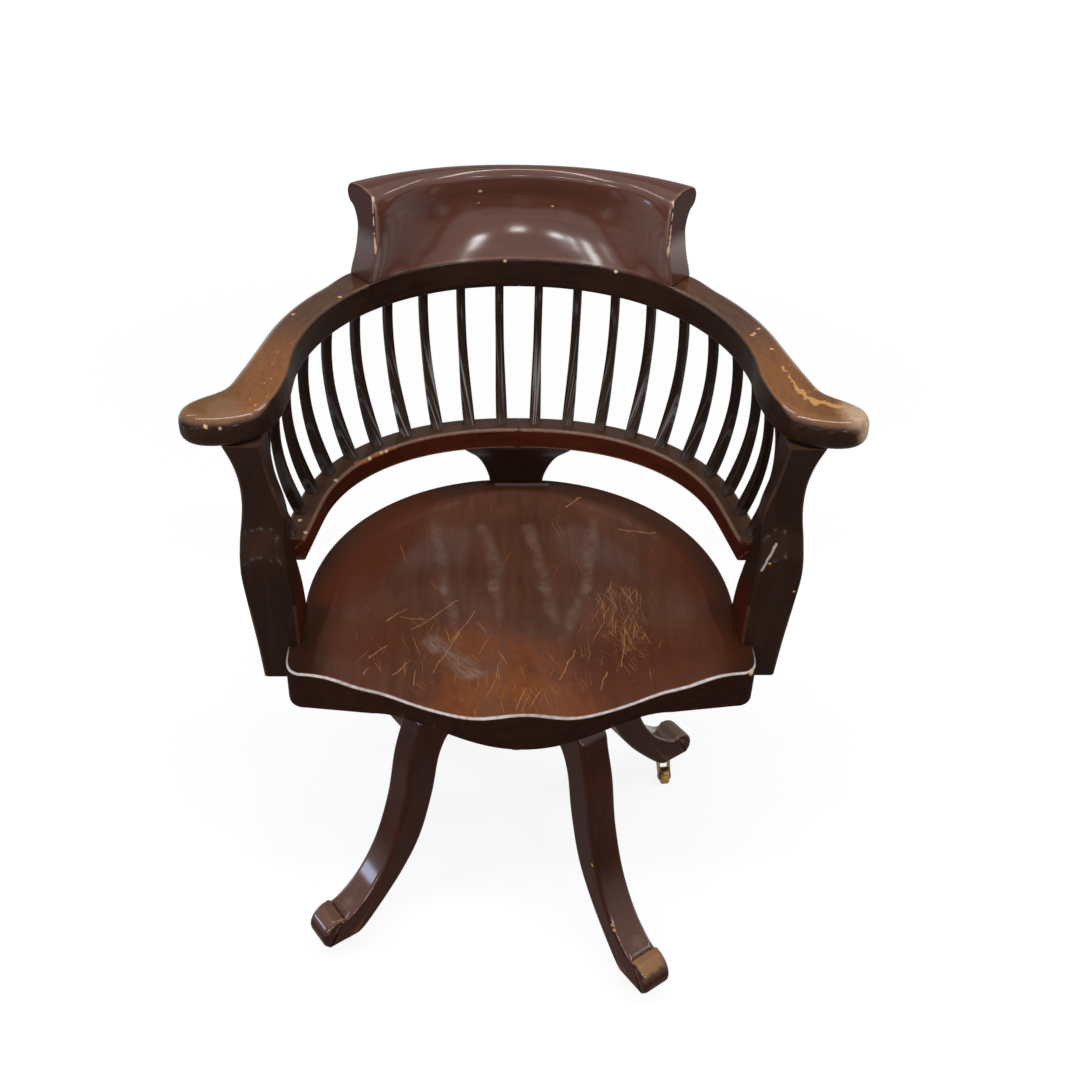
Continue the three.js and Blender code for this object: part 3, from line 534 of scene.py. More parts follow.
def scratched(finish, crowd, angles, bare, length, apart, width):
    # Short scratches in several directions; crowd is the share of them that is there.
    place = finish.wavy(26.0, 0.007)
    for i, angle in enumerate(angles):
        cos, sin = math.cos(math.radians(angle)), math.sin(math.radians(angle))
        along = finish.vectors("DOT_PRODUCT", place, (cos / length, sin / length, 0), "Value") + 3.7 * i
        across = finish.vectors("DOT_PRODUCT", place, (-sin / apart, cos / apart, 0), "Value")
        sockets = {"Vector": finish.vector(along, across, 0), "Scale": 1.0}
        cell = finish.add("ShaderNodeTexVoronoi", {"voronoi_dimensions": "2D", "feature": "F1"}, sockets)
        middle = finish.split(cell.out("Position"))
        luck = finish.add("ShaderNodeSeparateColor", {}, {0: cell.out("Color")})
        slant = (along - middle[0]) * (luck.out(1) - 0.5) * 1.6
        thin = (across - middle[1] - slant).size().between(width, width * 0.3)
        short = (along - middle[0]).size().between(0.2 + 0.06 * i, 0.1)
        strength = luck.out(2) * 0.75 + 0.25
        worn(finish, thin * short * strength * (crowd - luck.out(0)).between(0.0, 0.05), bare, 0.55)


def done(finish):
    finish.surface(Base_Color=finish.colour, Roughness=finish.rough)
    if finish.coat:
        finish.surface(Coat_Weight=finish.coat.clamped())
    finish.bumped(finish.height, finish.depth)
    return finish.material


metalTints = {
    "black iron": {"colours": ((38, 38, 42), (58, 50, 44)), "rough": 0.55, "clouds": 60.0},
    "worn steel": {"colours": ((120, 121, 125), (88, 84, 80)), "rough": 0.38, "clouds": 60.0},
    "old brass": {"colours": ((150, 116, 64), (96, 74, 44)), "rough": 0.36, "clouds": 60.0},
    "tarnished brass": {"colours": ((64, 52, 38), (118, 90, 48)), "rough": 0.42, "clouds": 90.0},
}


def metal(name):
    tint = metalTints[name]
    first, second = tint["colours"]
    finish = Finish(name)
    finish.surface(Metallic=1.0)
    cloud = finish.noise(finish.place, tint["clouds"], 4.0, 0.6)
    speck = finish.noise(finish.place, tint["clouds"] * 8, 2.0, 0.6)
    finish.colour = finish.blend(cloud.between(0.35, 0.7), colour(*first), colour(*second))
    finish.rough = tint["rough"] + (cloud - 0.5) * 0.3 + (speck - 0.5) * 0.15
    finish.height = speck * 0.5 + cloud * 0.5
    finish.depth = 0.0002
    return done(finish)


bareWood, paleWood = (196, 140, 80), (222, 186, 142)

# Wear, with some painted highlights and shade: for each piece, the places of its marks and the colours that they lay
# on, mostly of the wood that they bare.

postWear = {
    "innerFace": (74, 26, 14), "innerFrom": (0.2385, 0.2365), "shoulder": 0.545,
    "nicks": [((-0.2365, -0.1105, 0.478), (-0.2365, -0.1105, 0.55)),
              ((0.2365, -0.1105, 0.495), (0.2365, -0.1105, 0.548))],
    "glint": ((0.246, 0, 0.558), (0.2595, 0, 0.586)), "paintedGlintTint": (176, 166, 160),
    "chips": [(0.2835, -0.1095, 0.531), (0.254, -0.107, 0.566)],
}


def postFinish():
    # Golden nicks down the inner edges of the panels, a redder inner face, and a painted glint on the right post's
    # shoulder.
    w = postWear
    finish = wood("post", lambda f: (f.z - w["shoulder"]).size().between(0.03, 0.036))
    inner = (-finish.x.size()).between(*(-x for x in w["innerFrom"]))
    worn(finish, inner * 0.5, w["innerFace"], 0.4, 0.2)
    nicks = finish.lines(w["nicks"], 0.0004, 0.0021)
    worn(finish, ragged(finish, nicks * 0.75, 0.5, 0.6, 1.6) * 0.8, bareWood)
    # A painted highlight: a pale glint on the right post's inner front edge at the shoulder.
    flat = finish.vectors("MULTIPLY", finish.wavy(120.0, 0.003), (1, 0, 1))
    glint = finish.line(*w["glint"], 0.0001, 0.0024, flat) * (-finish.y).between(0.07, 0.08)
    worn(finish, ragged(finish, glint, 0.35, 1.05, 0.9) * 0.75, w["paintedGlintTint"], 0.3, 0.0)
    return done(chipped(finish, w["chips"], bareWood))


railWear = {
    "rubbed": ((-0.184, 0.076, 0.562), (-0.142, 0.112, 0.562)), "rubbedTint": (160, 96, 54),
    "chips": [(-0.170, 0.090, 0.560), (-0.157, 0.101, 0.561), (-0.152, 0.105, 0.560), (-0.229, -0.050, 0.562),
              (-0.237, -0.029, 0.562), (-0.226, -0.062, 0.561), (-0.205, 0.045, 0.561), (0.226, -0.062, 0.561)],
}


def railFinish():
    w = railWear
    finish = wood("rail")
    left = finish.line(*w["rubbed"], 0.001, 0.008, finish.wavy(60.0, 0.01))
    worn(finish, ragged(finish, left, 0.35, 0.9, 1.1) * 0.6, w["rubbedTint"])
    return done(chipped(finish, w["chips"], paleWood, (0.0010, 0.0032)))


armWear = {
    "underCrest": 0.172, "mottle": (66, 42, 29), "gold": (146, 93, 50), "outside": (104, 74, 44),
    "rightEnd": [(0.322, -0.088, 0.741, 0.0, 0.036), (0.334, -0.095, 0.725, 0.0, 0.030)],
    "rightTints": [(186, 154, 126), (222, 196, 170)],
    "leftEnd": (-0.290, -0.088, 0.741, 0.006, 0.030), "leftTint": (150, 120, 98),
    "streak": [((0.262, -0.004, 0.741), (0.267, -0.045, 0.741), 0.0004, 0.0028),
               ((0.267, -0.045, 0.741), (0.282, -0.076, 0.741), 0.0006, 0.0048),
               ((0.275, -0.066, 0.741), (0.304, -0.082, 0.741), 0.0006, 0.0060)],
    "streakTints": [(214, 164, 104), (196, 140, 82)],
    "flecks": [((-0.246, 0.03, 0.741), (-0.262, -0.085, 0.741), 0.001, 0.015),
               ((0.268, 0.02, 0.741), (0.29, -0.075, 0.741), 0.001, 0.014)],
    "fleckTint": (204, 150, 86), "shade": (50, 31, 24), "joint": (150, 116, 96),
    "chips": [(-0.243, 0.095, 0.741), (0.240, 0.058, 0.741), (0.249, 0.072, 0.741), (0.243, 0.062, 0.741),
              (0.256, 0.03, 0.741), (-0.197, 0.134, 0.741), (-0.017, 0.2275, 0.7395), (0.108, 0.2055, 0.7385),
              (-0.305, -0.109, 0.732), (-0.291, -0.1095, 0.730)],
}


def beforeCrest(finish):
    # 1 on the part of the bow that the crest rail stands on.
    return (armWear["underCrest"] - finish.x.size()).between(0.0, 0.010) * finish.y.between(0.12, 0.15)


def armFinish():
    # Worn golden towards the knuckles, pale on the right one, dark on the upright sides, with painted shade where the
    # crest rail stands on the bow.
    w = armWear
    finish = wood("arm", lambda f: 1 - beforeCrest(f) * 0.8)
    mottle = finish.noise(grain(finish, "round", 0.3), 160.0, 4.0, 0.7).between(0.35, 0.6)
    worn(finish, mottle * finish.up * 0.5, w["mottle"], 0.5, 0.2)
    forward = (-finish.y).between(-0.13, 0.02) * finish.up * (0.65 + mottle * 0.35)
    worn(finish, ragged(finish, forward, 0.0, 1.1, 0.7) * 0.8, w["gold"], 0.42, 0.2)
    outside = (-finish.x.size()).between(-0.262, -0.290) * (-finish.y).between(-0.10, 0.04) * finish.up
    worn(finish, ragged(finish, outside, 0.1, 1.1, 0.6) * 0.55, w["outside"], 0.5, 0.4)
    end = gathered([finish.near(*spot) for spot in w["rightEnd"]])
    worn(finish, ragged(finish, end, 0.1, 0.75, 0.35) * 0.8, w["rightTints"][0], 0.5, 0.7)
    worn(finish, ragged(finish, end, 0.5, 1.0, 1.2) * 0.35, w["rightTints"][1], 0.5, 0.7)
    leftEnd = finish.near(*w["leftEnd"])
    worn(finish, ragged(finish, leftEnd, 0.2, 1.1, 0.9) * 0.4, w["leftTint"], 0.45, 0.4)
    place = finish.wavy(130.0, 0.010)
    streak = gathered([finish.line(*run, place) for run in w["streak"]])
    worn(finish, ragged(finish, streak, 0.5, 0.62, 1.5) * 0.9, w["streakTints"][0], 0.55)
    worn(finish, ragged(finish, streak, 0.25, 0.5, 1.0) * 0.35, w["streakTints"][1], 0.55)
    flecks = finish.noise(finish.wavy(90.0, 0.01), 210.0, 2.5, 0.6).between(0.64, 0.67)
    near = gathered([finish.line(*run) for run in w["flecks"]])
    worn(finish, flecks * near * 0.9, w["fleckTint"])
    # Painted shade: the bow's top is darkened at the back, where the crest rail stands over it.
    shaded = beforeCrest(finish)
    worn(finish, shaded * finish.up * 0.85, w["shade"], 0.5, 0.6)
    joint = finish.edge * shaded * finish.z.between(0.730, 0.735)
    worn(finish, ragged(finish, joint, 0.5, 0.9, 1.3) * 0.45, w["joint"])
    return done(chipped(finish, w["chips"], paleWood, (0.0008, 0.0030)))


crestWear = {
    "end": (58, 33, 26), "smudge": (124, 96, 82), "arris": (216, 176, 150),
    "smudges": [(-0.058, 0.232, 0.797, 0.003, 0.022), (0.0, 0.232, 0.803, 0.003, 0.026),
                (0.052, 0.232, 0.795, 0.003, 0.02), (0.078, 0.232, 0.787, 0.003, 0.014)],
    "arrises": [((0.158, 0.156, 0.846), (0.1575, 0.155, 0.772)), ((-0.158, 0.156, 0.846), (-0.1575, 0.155, 0.772))],
    "chips": [(-0.046, 0.2285, 0.823), (0.035, 0.2355, 0.802), (-0.047, 0.232, 0.806)],
}


def crestFinish():
    # Polished in front, darker on the upper part of the end faces, rubbed along their front edges.
    w = crestWear
    finish = wood("crest")
    sideward, rearward, _ = finish.facing()
    finish.coat = finish.coat * ((-rearward).between(-0.5, 0.3) * 0.85 + 0.15)
    ends = (sideward * finish.x.sum("SIGN")).between(0.4, 0.6) * (-rearward).between(0.2, 0.4)
    worn(finish, ends * (finish.z.between(0.785, 0.812) * 0.5 + 0.5), w["end"], 0.5, 1.0)
    smudge = gathered([finish.near(*spot) for spot in w["smudges"]])
    worn(finish, ragged(finish, smudge, 0.3, 1.1, 0.9) * 0.22, w["smudge"], 0.5, 0.3)
    arris = finish.lines(w["arrises"], 0.0006, 0.0026)
    worn(finish, ragged(finish, arris * 0.8, 0.55, 0.62, 1.9) * 0.9, w["arris"])
    return done(chipped(finish, w["chips"], paleWood, (0.0010, 0.0028)))


def spindleFinish():
    # Dusty at the foot, with painted glints: thin highlight streaks that run up from it, weaker towards the arms.
    finish = wood("spindle")
    low = finish.z.between(0.580, 0.564)
    worn(finish, ragged(finish, low, 0.4, 1.1, 0.8) * 0.25, (96, 84, 78), 0.6)
    # Painted highlights: pale streaks up the spindles stand for glints of light.
    turn = aroundAxis(finish)[1]
    run = finish.noise(finish.vector(turn * 85.0, 0, finish.z * 9.0), 1.0, 0.5, 0.5)
    rearward = finish.x.size().between(0.210, 0.150) * 0.8 + 0.2
    paintedGlints = run.between(0.54, 0.70) * finish.z.between(0.670, 0.60) * rearward
    worn(finish, paintedGlints * 0.6, (144, 140, 140), 0.35, 0.0)
    return done(finish)


legWear = {
    "toes": (158, 112, 82), "toeTops": (120, 88, 68), "rightToe": (158, 116, 82),
    "rightward": (0.136, -0.238, 0.07, 0.02, 0.06),
    "dull": [(0.142, -0.218, 0.083, 0.0, 0.020), (-0.203, -0.158, 0.084, 0.0, 0.018)], "dullSheenTint": (120, 98, 84),
    "dust": (0.222, 0.132, 0.082, 0.012, 0.034), "dustTint": (128, 112, 96),
    "chips": [(0.111, -0.2085, 0.103), (0.086, -0.1745, 0.170), (0.113, -0.212, 0.098), (-0.196, -0.150, 0.093)],
}


def legFinish():
    # Tan on the edges of the toes, dull grey patches above the step, worn and with a painted sheen, dust on the rear
    # toe on the right.
    w = legWear
    finish = wood("leg")
    toe = aroundAxis(finish)[0].between(0.252, 0.268) * finish.z.between(0.05, 0.066)
    rightward = finish.near(*w["rightward"])
    worn(finish, ragged(finish, finish.edge * toe, 0.3, 0.8, 1.1) * 0.55, w["toes"])
    worn(finish, ragged(finish, toe * finish.up, 0.5, 1.1, 1.0) * 0.5, w["toeTops"])
    worn(finish, ragged(finish, toe * finish.up * rightward, 0.3, 0.9, 0.8) * 0.7, w["rightToe"])
    # Dull grey patches: wear, and on the right leg a painted sheen.
    dull = gathered([finish.near(*spot) for spot in w["dull"]])
    worn(finish, ragged(finish, dull, 0.3, 1.1, 1.3) * 0.5, w["dullSheenTint"], 0.5)
    dust = finish.near(*w["dust"]) * finish.up
    worn(finish, ragged(finish, dust, 0.3, 0.8) * 0.75, w["dustTint"], 0.7, 1.0)
    return done(chipped(finish, w["chips"], bareWood, (0.0008, 0.0030)))


# Streaks are pale bands from behind to the front, painted reflections that are also laid on as wear where people slide;
# scratches have directions, a colour, a length, a distance and a width.
seatWear = {
    "rim": (66, 36, 22), "sides": (54, 31, 22), "ears": (44, 28, 22), "red": (90, 43, 25), "gold": (126, 71, 39),
    "redPlaces": [((-0.20, -0.02, 0.456), (-0.13, 0.15, 0.456), 0.010, 0.050, 1),
                  ((0.20, -0.02, 0.456), (0.17, 0.06, 0.456), 0.010, 0.040, 0.6),
                  ((0.06, -0.13, 0.440), (0.19, -0.11, 0.444), 0.02, 0.09, 0.7)],
    "redSpot": (-0.16, -0.08, 0.440, 0.02, 0.09),
    "bar": ((-0.024, 0.1875, 0.456), (0.038, 0.1875, 0.456)), "rearHighlightTint": (150, 142, 138),
    "goldPlaces": [((-0.07, -0.165, 0.452), (0.05, -0.185, 0.452), 0.0, 0.075, 1),
                   ((-0.06, -0.10, 0.440), (0.02, -0.13, 0.446), 0.0, 0.07, 0.8)],
    "goldSpot": (0.09, -0.05, 0.438, 0.0, 0.07),
    "streaks": [(-0.0965, 0.011), (-0.037, 0.010), (0.016, 0.011), (0.0926, -0.018)], "paintedReflectionTint": (150, 126, 116),
    "smudge": ((-0.098, -0.080, 0.438), (-0.052, -0.140, 0.445)), "smudgeTint": (158, 140, 130),
    "dense": ((0.108, -0.012, 0.438), (0.118, -0.082, 0.436)),
    "sparse": [(-0.01, -0.16, 0.452, 0.02, 0.11, 0.22), (0.10, -0.09, 0.44, 0.02, 0.08, 0.2),
               (-0.10, -0.09, 0.436, 0.03, 0.10, 0.10), (0.0, 0.0, 0.44, 0.14, 0.26, 0.035)],
    "scratches": [((84, 106, 66), (200, 148, 96), 0.075, 0.0050, 0.075),
                  ((74, 120, 96), (182, 130, 82), 0.045, 0.0036, 0.085),
                  ((30, 150, 128), (146, 98, 64), 0.036, 0.0034, 0.085)],
    "marks": [((-0.120, -0.063), (-0.069, -0.016)), ((-0.133, -0.042), (-0.107, -0.046)),
              ((-0.164, -0.115), (-0.148, -0.090)), ((-0.169, -0.140), (-0.164, -0.130)),
              ((-0.095, -0.128), (-0.068, -0.073)), ((-0.138, -0.134), (-0.122, -0.111)),
              ((-0.075, -0.082), (-0.050, -0.039)), ((0.039, -0.154), (0.058, -0.101)),
              ((0.082, -0.158), (0.092, -0.129)), ((0.108, -0.120), (0.116, -0.060)),
              ((0.123, 0.105), (0.163, 0.090)), ((0.060, 0.148), (0.078, 0.160)),
              ((-0.150, -0.050), (-0.128, -0.030))],
    "markTint": (184, 132, 84), "markHeight": 0.438, "speck": (170, 150, 136), "frontEdgeHighlight": (200, 192, 190),
    "chips": [(0.243, -0.151, 0.453)],
}


def weighed(finish, runs, place=None):
    # Lines whose last value says how strong they are.
    return [finish.line(*run, place) if share == 1 else finish.line(*run, place) * share for *run, share in runs]


def seatShades(finish, top):
    # Browner inside the rim and at the sides, red behind and at the corners, golden towards the front, and a painted
    # highlight on the rear flat.
    w = seatWear
    side = finish.x.size()
    worn(finish, finish.attribute("rim") * top * 0.8, w["rim"], 0.42, 0.85)
    wide = top * side.between(0.165, 0.235)
    worn(finish, ragged(finish, wide, 0.1, 1.1, 0.5) * 0.75, w["sides"], 0.42, 0.4)
    ear = top * side.between(0.205, 0.235) * (-finish.y).between(0.07, 0.11)
    worn(finish, ear * 0.7, w["ears"], 0.42, 0.2)
    red = gathered(weighed(finish, w["redPlaces"]) + [finish.near(*w["redSpot"]) * 0.6]) * top
    worn(finish, ragged(finish, red, 0.0, 1.1, 0.5) * 0.75, w["red"], 0.42, 0.4)
    # A painted highlight: a pale bar on the rear flat of the seat by the support.
    bar = finish.line(*w["bar"], 0.001, 0.0045)
    worn(finish, bar * top * 0.45, w["rearHighlightTint"], 0.35, 0.0)
    patch = finish.wavy(14.0, 0.05)
    gold = gathered(weighed(finish, w["goldPlaces"], patch) + [finish.near(*w["goldSpot"]) * 0.35]) * top
    slanted = finish.vector(finish.x, finish.y * 0.6 + finish.x * 0.4, 0)
    patchy = finish.noise(slanted, 60.0, 4.0, 0.65).between(0.3, 0.6)
    worn(finish, ragged(finish, gold * (0.5 + patchy * 0.5), 0.0, 0.95, 0.6) * 0.9, w["gold"], 0.45, 0.6)


def seatStreaks(finish, top):
    # Pale streaks from behind to the front, painted reflections laid on like polish wear, and a dusty smudge on the
    # left thigh hollow.
    w = seatWear
    shine = gathered([finish.line((x, 0.12, 0.44), (x + bend, 0.0, 0.44), 0.001, 0.013, finish.wavy(12.0, 0.03)) +
                      finish.line((x + bend, 0.0, 0.44), (x + bend * 2.6, -0.09, 0.44), 0.001, 0.010,
                                  finish.wavy(12.0, 0.03)) * 0.8 for x, bend in w["streaks"]])
    dusty = finish.noise(finish.place, 60.0, 4.0, 0.7).between(0.2, 0.8)
    # Painted reflection: the pale streaks stand for reflected light, also read as polish wear.
    worn(finish, (shine * dusty * top).clamped() * 0.4, w["paintedReflectionTint"], 0.35, 0.0)
    smudge = finish.line(*w["smudge"], 0.001, 0.016, finish.wavy(40.0, 0.02))
    wisps = finish.vector(finish.x * 500 + finish.y * 380, finish.x * 24 - finish.y * 32, 0)
    streaks = finish.noise(wisps, 1.0, 3.0, 0.7).between(0.3, 0.75)
    worn(finish, smudge * streaks * top * 0.75, w["smudgeTint"], 0.4, 0.0)


def seatScratches(finish, top):
    # Crowded on the right thigh hollow and sparse elsewhere, then single marks and specks.
    w = seatWear
    dense = finish.line(*w["dense"], 0.006, 0.040, finish.wavy(30.0, 0.03))
    crowd = gathered([dense * 0.8] + [finish.near(*spot) * share for *spot, share in w["sparse"]]) * top
    for scratches in w["scratches"]:
        scratched(finish, crowd, *scratches)
    flat = finish.vectors("MULTIPLY", finish.wavy(60.0, 0.008), (1, 1, 0))
    flat = finish.vectors("ADD", flat, (0, 0, w["markHeight"]))
    ends = [((*a, w["markHeight"]), (*b, w["markHeight"])) for a, b in w["marks"]]
    marks = finish.lines(ends, 0.0002, 0.0009, flat)
    worn(finish, marks * top * (finish.fine * 1.7 - 0.1).clamped() * 0.85, w["markTint"])
    specks = finish.noise(finish.place, 420.0, 2.0).between(0.74, 0.77)
    specks = specks * finish.noise(finish.place, 18.0, 2.0).between(0.5, 0.65)
    worn(finish, specks * top * 0.8, w["speck"])


def seatFinish():
    w = seatWear
    finish = wood("seat")
    top = finish.up * finish.z.between(0.42, 0.425)
    seatShades(finish, top)
    seatStreaks(finish, top)
    seatScratches(finish, top)
    upward = finish.facing()[2]
    # A painted highlight: a pale line along the rounded front edge of the seat, uneven along its length.
    line = upward.between(0.35, 0.55) * upward.between(0.95, 0.85) * finish.z.between(0.425, 0.430)
    front = (finish.edge * 2).clamped() * (-finish.y).between(0.10, 0.14) * line
    uneven = (0.85 + (finish.fine - 0.5) * 1.4 - finish.cloud.between(0.45, 0.65) * 0.45).clamped()
    worn(finish, front * uneven, w["frontEdgeHighlight"], 0.3, 0.0)
    return done(chipped(finish, w["chips"], paleWood, (0.002, 0.005)))


darkWood = done(wood("dark"))
postWood, railWood, armWood, crestWood = postFinish(), railFinish(), armFinish(), crestFinish()
spindleWood, legWood, seatWood = spindleFinish(), legFinish(), seatFinish()
iron, steel, brass, tarnished = [metal(name) for name in metalTints]
print("materials made")


# Seat: a flat rim, a cove inside it, then the saddle with two thigh hollows and a ridge between them

seatLook = {
    "top": 0.456, "thickness": 0.050,
    "halfWidth": 0.238, "rear": 0.216, "depth": 0.246, "roundness": 2.1,
    "ear": 0.250, "earBack": 0.0955, "earFront": 0.112, "corner": 0.244, "cornerFront": 0.140, "cornerInset": 0.014,
    "bulge": 0.160, "shoulder": 0.149, "front": 0.203,
    "dishHalf": 0.211, "dishRear": 0.191, "dish": 0.015, "slope": 0.046,
    "cove": 0.0022, "coveWidth": 0.007,
    "hollow": 0.024, "hollowAt": 0.114, "hollowSpread": 0.050,
    "ridge": 0.017, "ridgeSpread": 0.040, "start": 0.070, "full": 0.150,
    "edge": 0.004, "foot": 0.0035,
    "bulgeRun": 0.68, "frontRun": 0.42, "widens": 0.010, "widensOver": (0.02, 0.11), "fill": 0.45,
    "coveEnds": (0.10, 0.15),
    "postNotch": {"inner": 0.2357, "front": -0.0958, "back": -0.0237},
    "supportNotch": {"half": 0.08, "front": 0.211},
}
# Where the seat's surface gets its rings of points: up the side, over the rim, down the cove, then to the middle.
seatRings = {
    "drops": (0.024, 0.007), "rim": (0.25, 0.5, 0.75, 0.93, 1.0),
    "insets": (0.0012, 0.0025, 0.004, 0.0055, 0.007, 0.009, 0.013, 0.019, 0.026, 0.034, 0.044),
    "shares": (0.92, 0.84, 0.76, 0.68, 0.6, 0.52, 0.44, 0.36, 0.28, 0.2, 0.12, 0.05),
}


def seatOutline(count=420):
    s = seatLook
    centre = s["rear"] - s["depth"]
    half = horseshoeRun(s["halfWidth"], s["depth"], centre, s["roundness"], 90)
    half += [Vector((s["ear"], -s["earBack"])), Vector((s["ear"], -s["earFront"]))]
    a, b = Vector((s["ear"], -s["earFront"])), Vector((s["ear"], -s["cornerFront"]))
    c = Vector((s["corner"] - s["cornerInset"], -s["cornerFront"]))
    for i in range(1, 9):
        half.append(a.lerp(b, i / 8).lerp(b.lerp(c, i / 8), i / 8))
    p = [Vector((s["bulge"], -s["shoulder"])), Vector((s["bulge"] * s["bulgeRun"], -s["shoulder"])),
         Vector((s["bulge"] * s["frontRun"], -s["front"])), Vector((0, -s["front"]))]
    for i in range(25):
        t = i / 24
        half.append(p[0] * (1 - t) ** 3 + p[1] * 3 * t * (1 - t) ** 2 + p[2] * 3 * t * t * (1 - t) + p[3] * t ** 3)
    half = evenly(half, count // 2 + 1)
    other = [Vector((-q.x, q.y)) for q in half[-2:0:-1]]
    return [Vector((q.x, q.y)) for q in (half + other)[::-1]]


def seatInside(x, y):
    # Distance in from the inner edge of the rim; negative on the rim.
    s = seatLook
    centre = s["rear"] - s["depth"]
    half = s["dishHalf"] + s["widens"] * smooth(-y, *s["widensOver"])
    rearward = max(y - centre, 0) / (s["dishRear"] - centre)
    return (1 - math.hypot(abs(x) / half, rearward)) * s["dishHalf"]


def seatTop(x, y):
    s = seatLook
    side = abs(x)
    inside = seatInside(x, y)
    fade = smooth(inside, 0, s["slope"])
    forward = smooth(-y, -s["start"], s["full"])
    hollow = math.exp(-((side - s["hollowAt"]) / s["hollowSpread"]) ** 2)
    ridge = math.exp(-(side / s["ridgeSpread"]) ** 2)
    depth = s["dish"] * (1 - s["fill"] * forward * smooth(side, s["hollowAt"], s["dishHalf"]))
    down = depth + (s["hollow"] - s["dish"]) * forward * hollow - s["ridge"] * forward * ridge
    cove = s["cove"] * smooth(inside, 0, s["coveWidth"]) * (1 - smooth(-y, *s["coveEnds"]))
    return s["top"] - max(fade * down, cove + fade * (down - s["cove"]))


def raised(line, height):
    return [Vector((p.x, p.y, height)) for p in line]


def onSeat(line):
    return [Vector((p.x, p.y, seatTop(p.x, p.y))) for p in line]


def besideSeat(line, inner, drop):
    # A flat line that far below the height that the seat's top has along an inner one.
    return [Vector((p.x, p.y, seatTop(q.x, q.y) - drop)) for p, q in zip(line, inner)]


def rimShare(p):
    # How far out from the middle towards a point of the edge the rim begins.
    low, high = 0.0, 1.0
    for _ in range(26):
        share = (low + high) / 2
        if seatInside(p.x * share, p.y * share) > 0:
            low = share
        else:
            high = share
    return min(low, 0.985)


def seatNotches():
    # Boxes cut out of the seat for the centre support and for the two arm posts.
    back, side = seatLook["supportNotch"], seatLook["postNotch"]
    low, high, beyond = 0.38, 0.5, 0.3
    boxes = [((-back["half"], back["front"] - axisAhead, low), (back["half"], beyond, high))]
    for sign in (1, -1):
        x = sorted((sign * side["inner"], sign * beyond))
        boxes.append(((x[0], side["front"] - axisAhead, low), (x[1], side["back"] - axisAhead, high)))
    return boxes


def buildSeat():
    s = seatLook
    outline = seatOutline()
    edge = drawnIn(outline, s["edge"])
    under = s["top"] - s["thickness"]
    rings = [raised([p * 0.6 for p in outline], under), raised(drawnIn(outline, s["foot"] + endInset), under)]
    for sin, cos in quarterTurns(4):
        rings.append(raised(drawnIn(outline, s["foot"] * (1 - sin)), under + s["foot"] * (1 - cos)))
    rings += [besideSeat(outline, edge, drop) for drop in seatRings["drops"]]
    for sin, cos in quarterTurns(5):
        rings.append(besideSeat(drawnIn(outline, s["edge"] * (1 - cos)), edge, s["edge"] * (1 - sin)))
    rims = [rimShare(p) for p in edge]
    rings += [onSeat([p * (1 + (share - 1) * step) for p, share in zip(edge, rims)]) for step in seatRings["rim"]]
    inner = [p * share for p, share in zip(edge, rims)]
    rings += [onSeat([p * (1 - inset / p.length) for p in inner]) for inset in seatRings["insets"]]
    last = [Vector((p.x, p.y)) for p in rings[-1]]
    rings += [onSeat([p * share for p in last]) for share in seatRings["shares"]]
    seat = skin("saddle_seat", [[p + axis for p in ring] for ring in rings])
    carved(seat, seatNotches())
    rim = [1 - smooth(seatInside(v.co.x, v.co.y + axisAhead), -0.003, 0.008) for v in seat.data.vertices]
    seat.data.attributes.new("rim", "FLOAT", "POINT").data.foreach_set("value", rim)
    return seat


stands(buildSeat(), "seat", seatWood, "seat_mahogany", "seat")
print("seat made")


# Arm posts: a board, flat in front up to an arched shoulder, then waisted and flared under the arm

postLook = {
    "foot": 0.410, "top": 0.7047, "inner": 0.236, "thickness": 0.064, "front": 0.0955, "depth": 0.0715,
    "edge": 0.0035, "arch": 0.05, "archFades": (0.62, 0.8), "blur": 0.006, "footInset": 0.06, "divisions": 16,
    "stations": [
        (0.0, 0.0, 0.66, 0.0, 1.0), (0.156, 0.0, 0.71, 0.0, 0.96), (0.271, 0.008, 0.76, 0.0, 0.87),
        (0.373, 0.025, 0.805, 0.0, 0.74), (0.475, 0.07, 0.845, 0.0, 0.66), (0.53, 0.1, 0.855, 0.02, 0.645),
        (0.565, 0.11, 0.85, 0.075, 0.635), (0.605, 0.105, 0.835, 0.165, 0.63), (0.655, 0.1, 0.8, 0.26, 0.64),
        (0.72, 0.145, 0.766, 0.308, 0.66), (0.808, 0.25, 0.765, 0.315, 0.706), (0.9, 0.3, 0.815, 0.245, 0.776),
        (1.0, 0.328, 0.93, 0.133, 0.86),
    ],
}


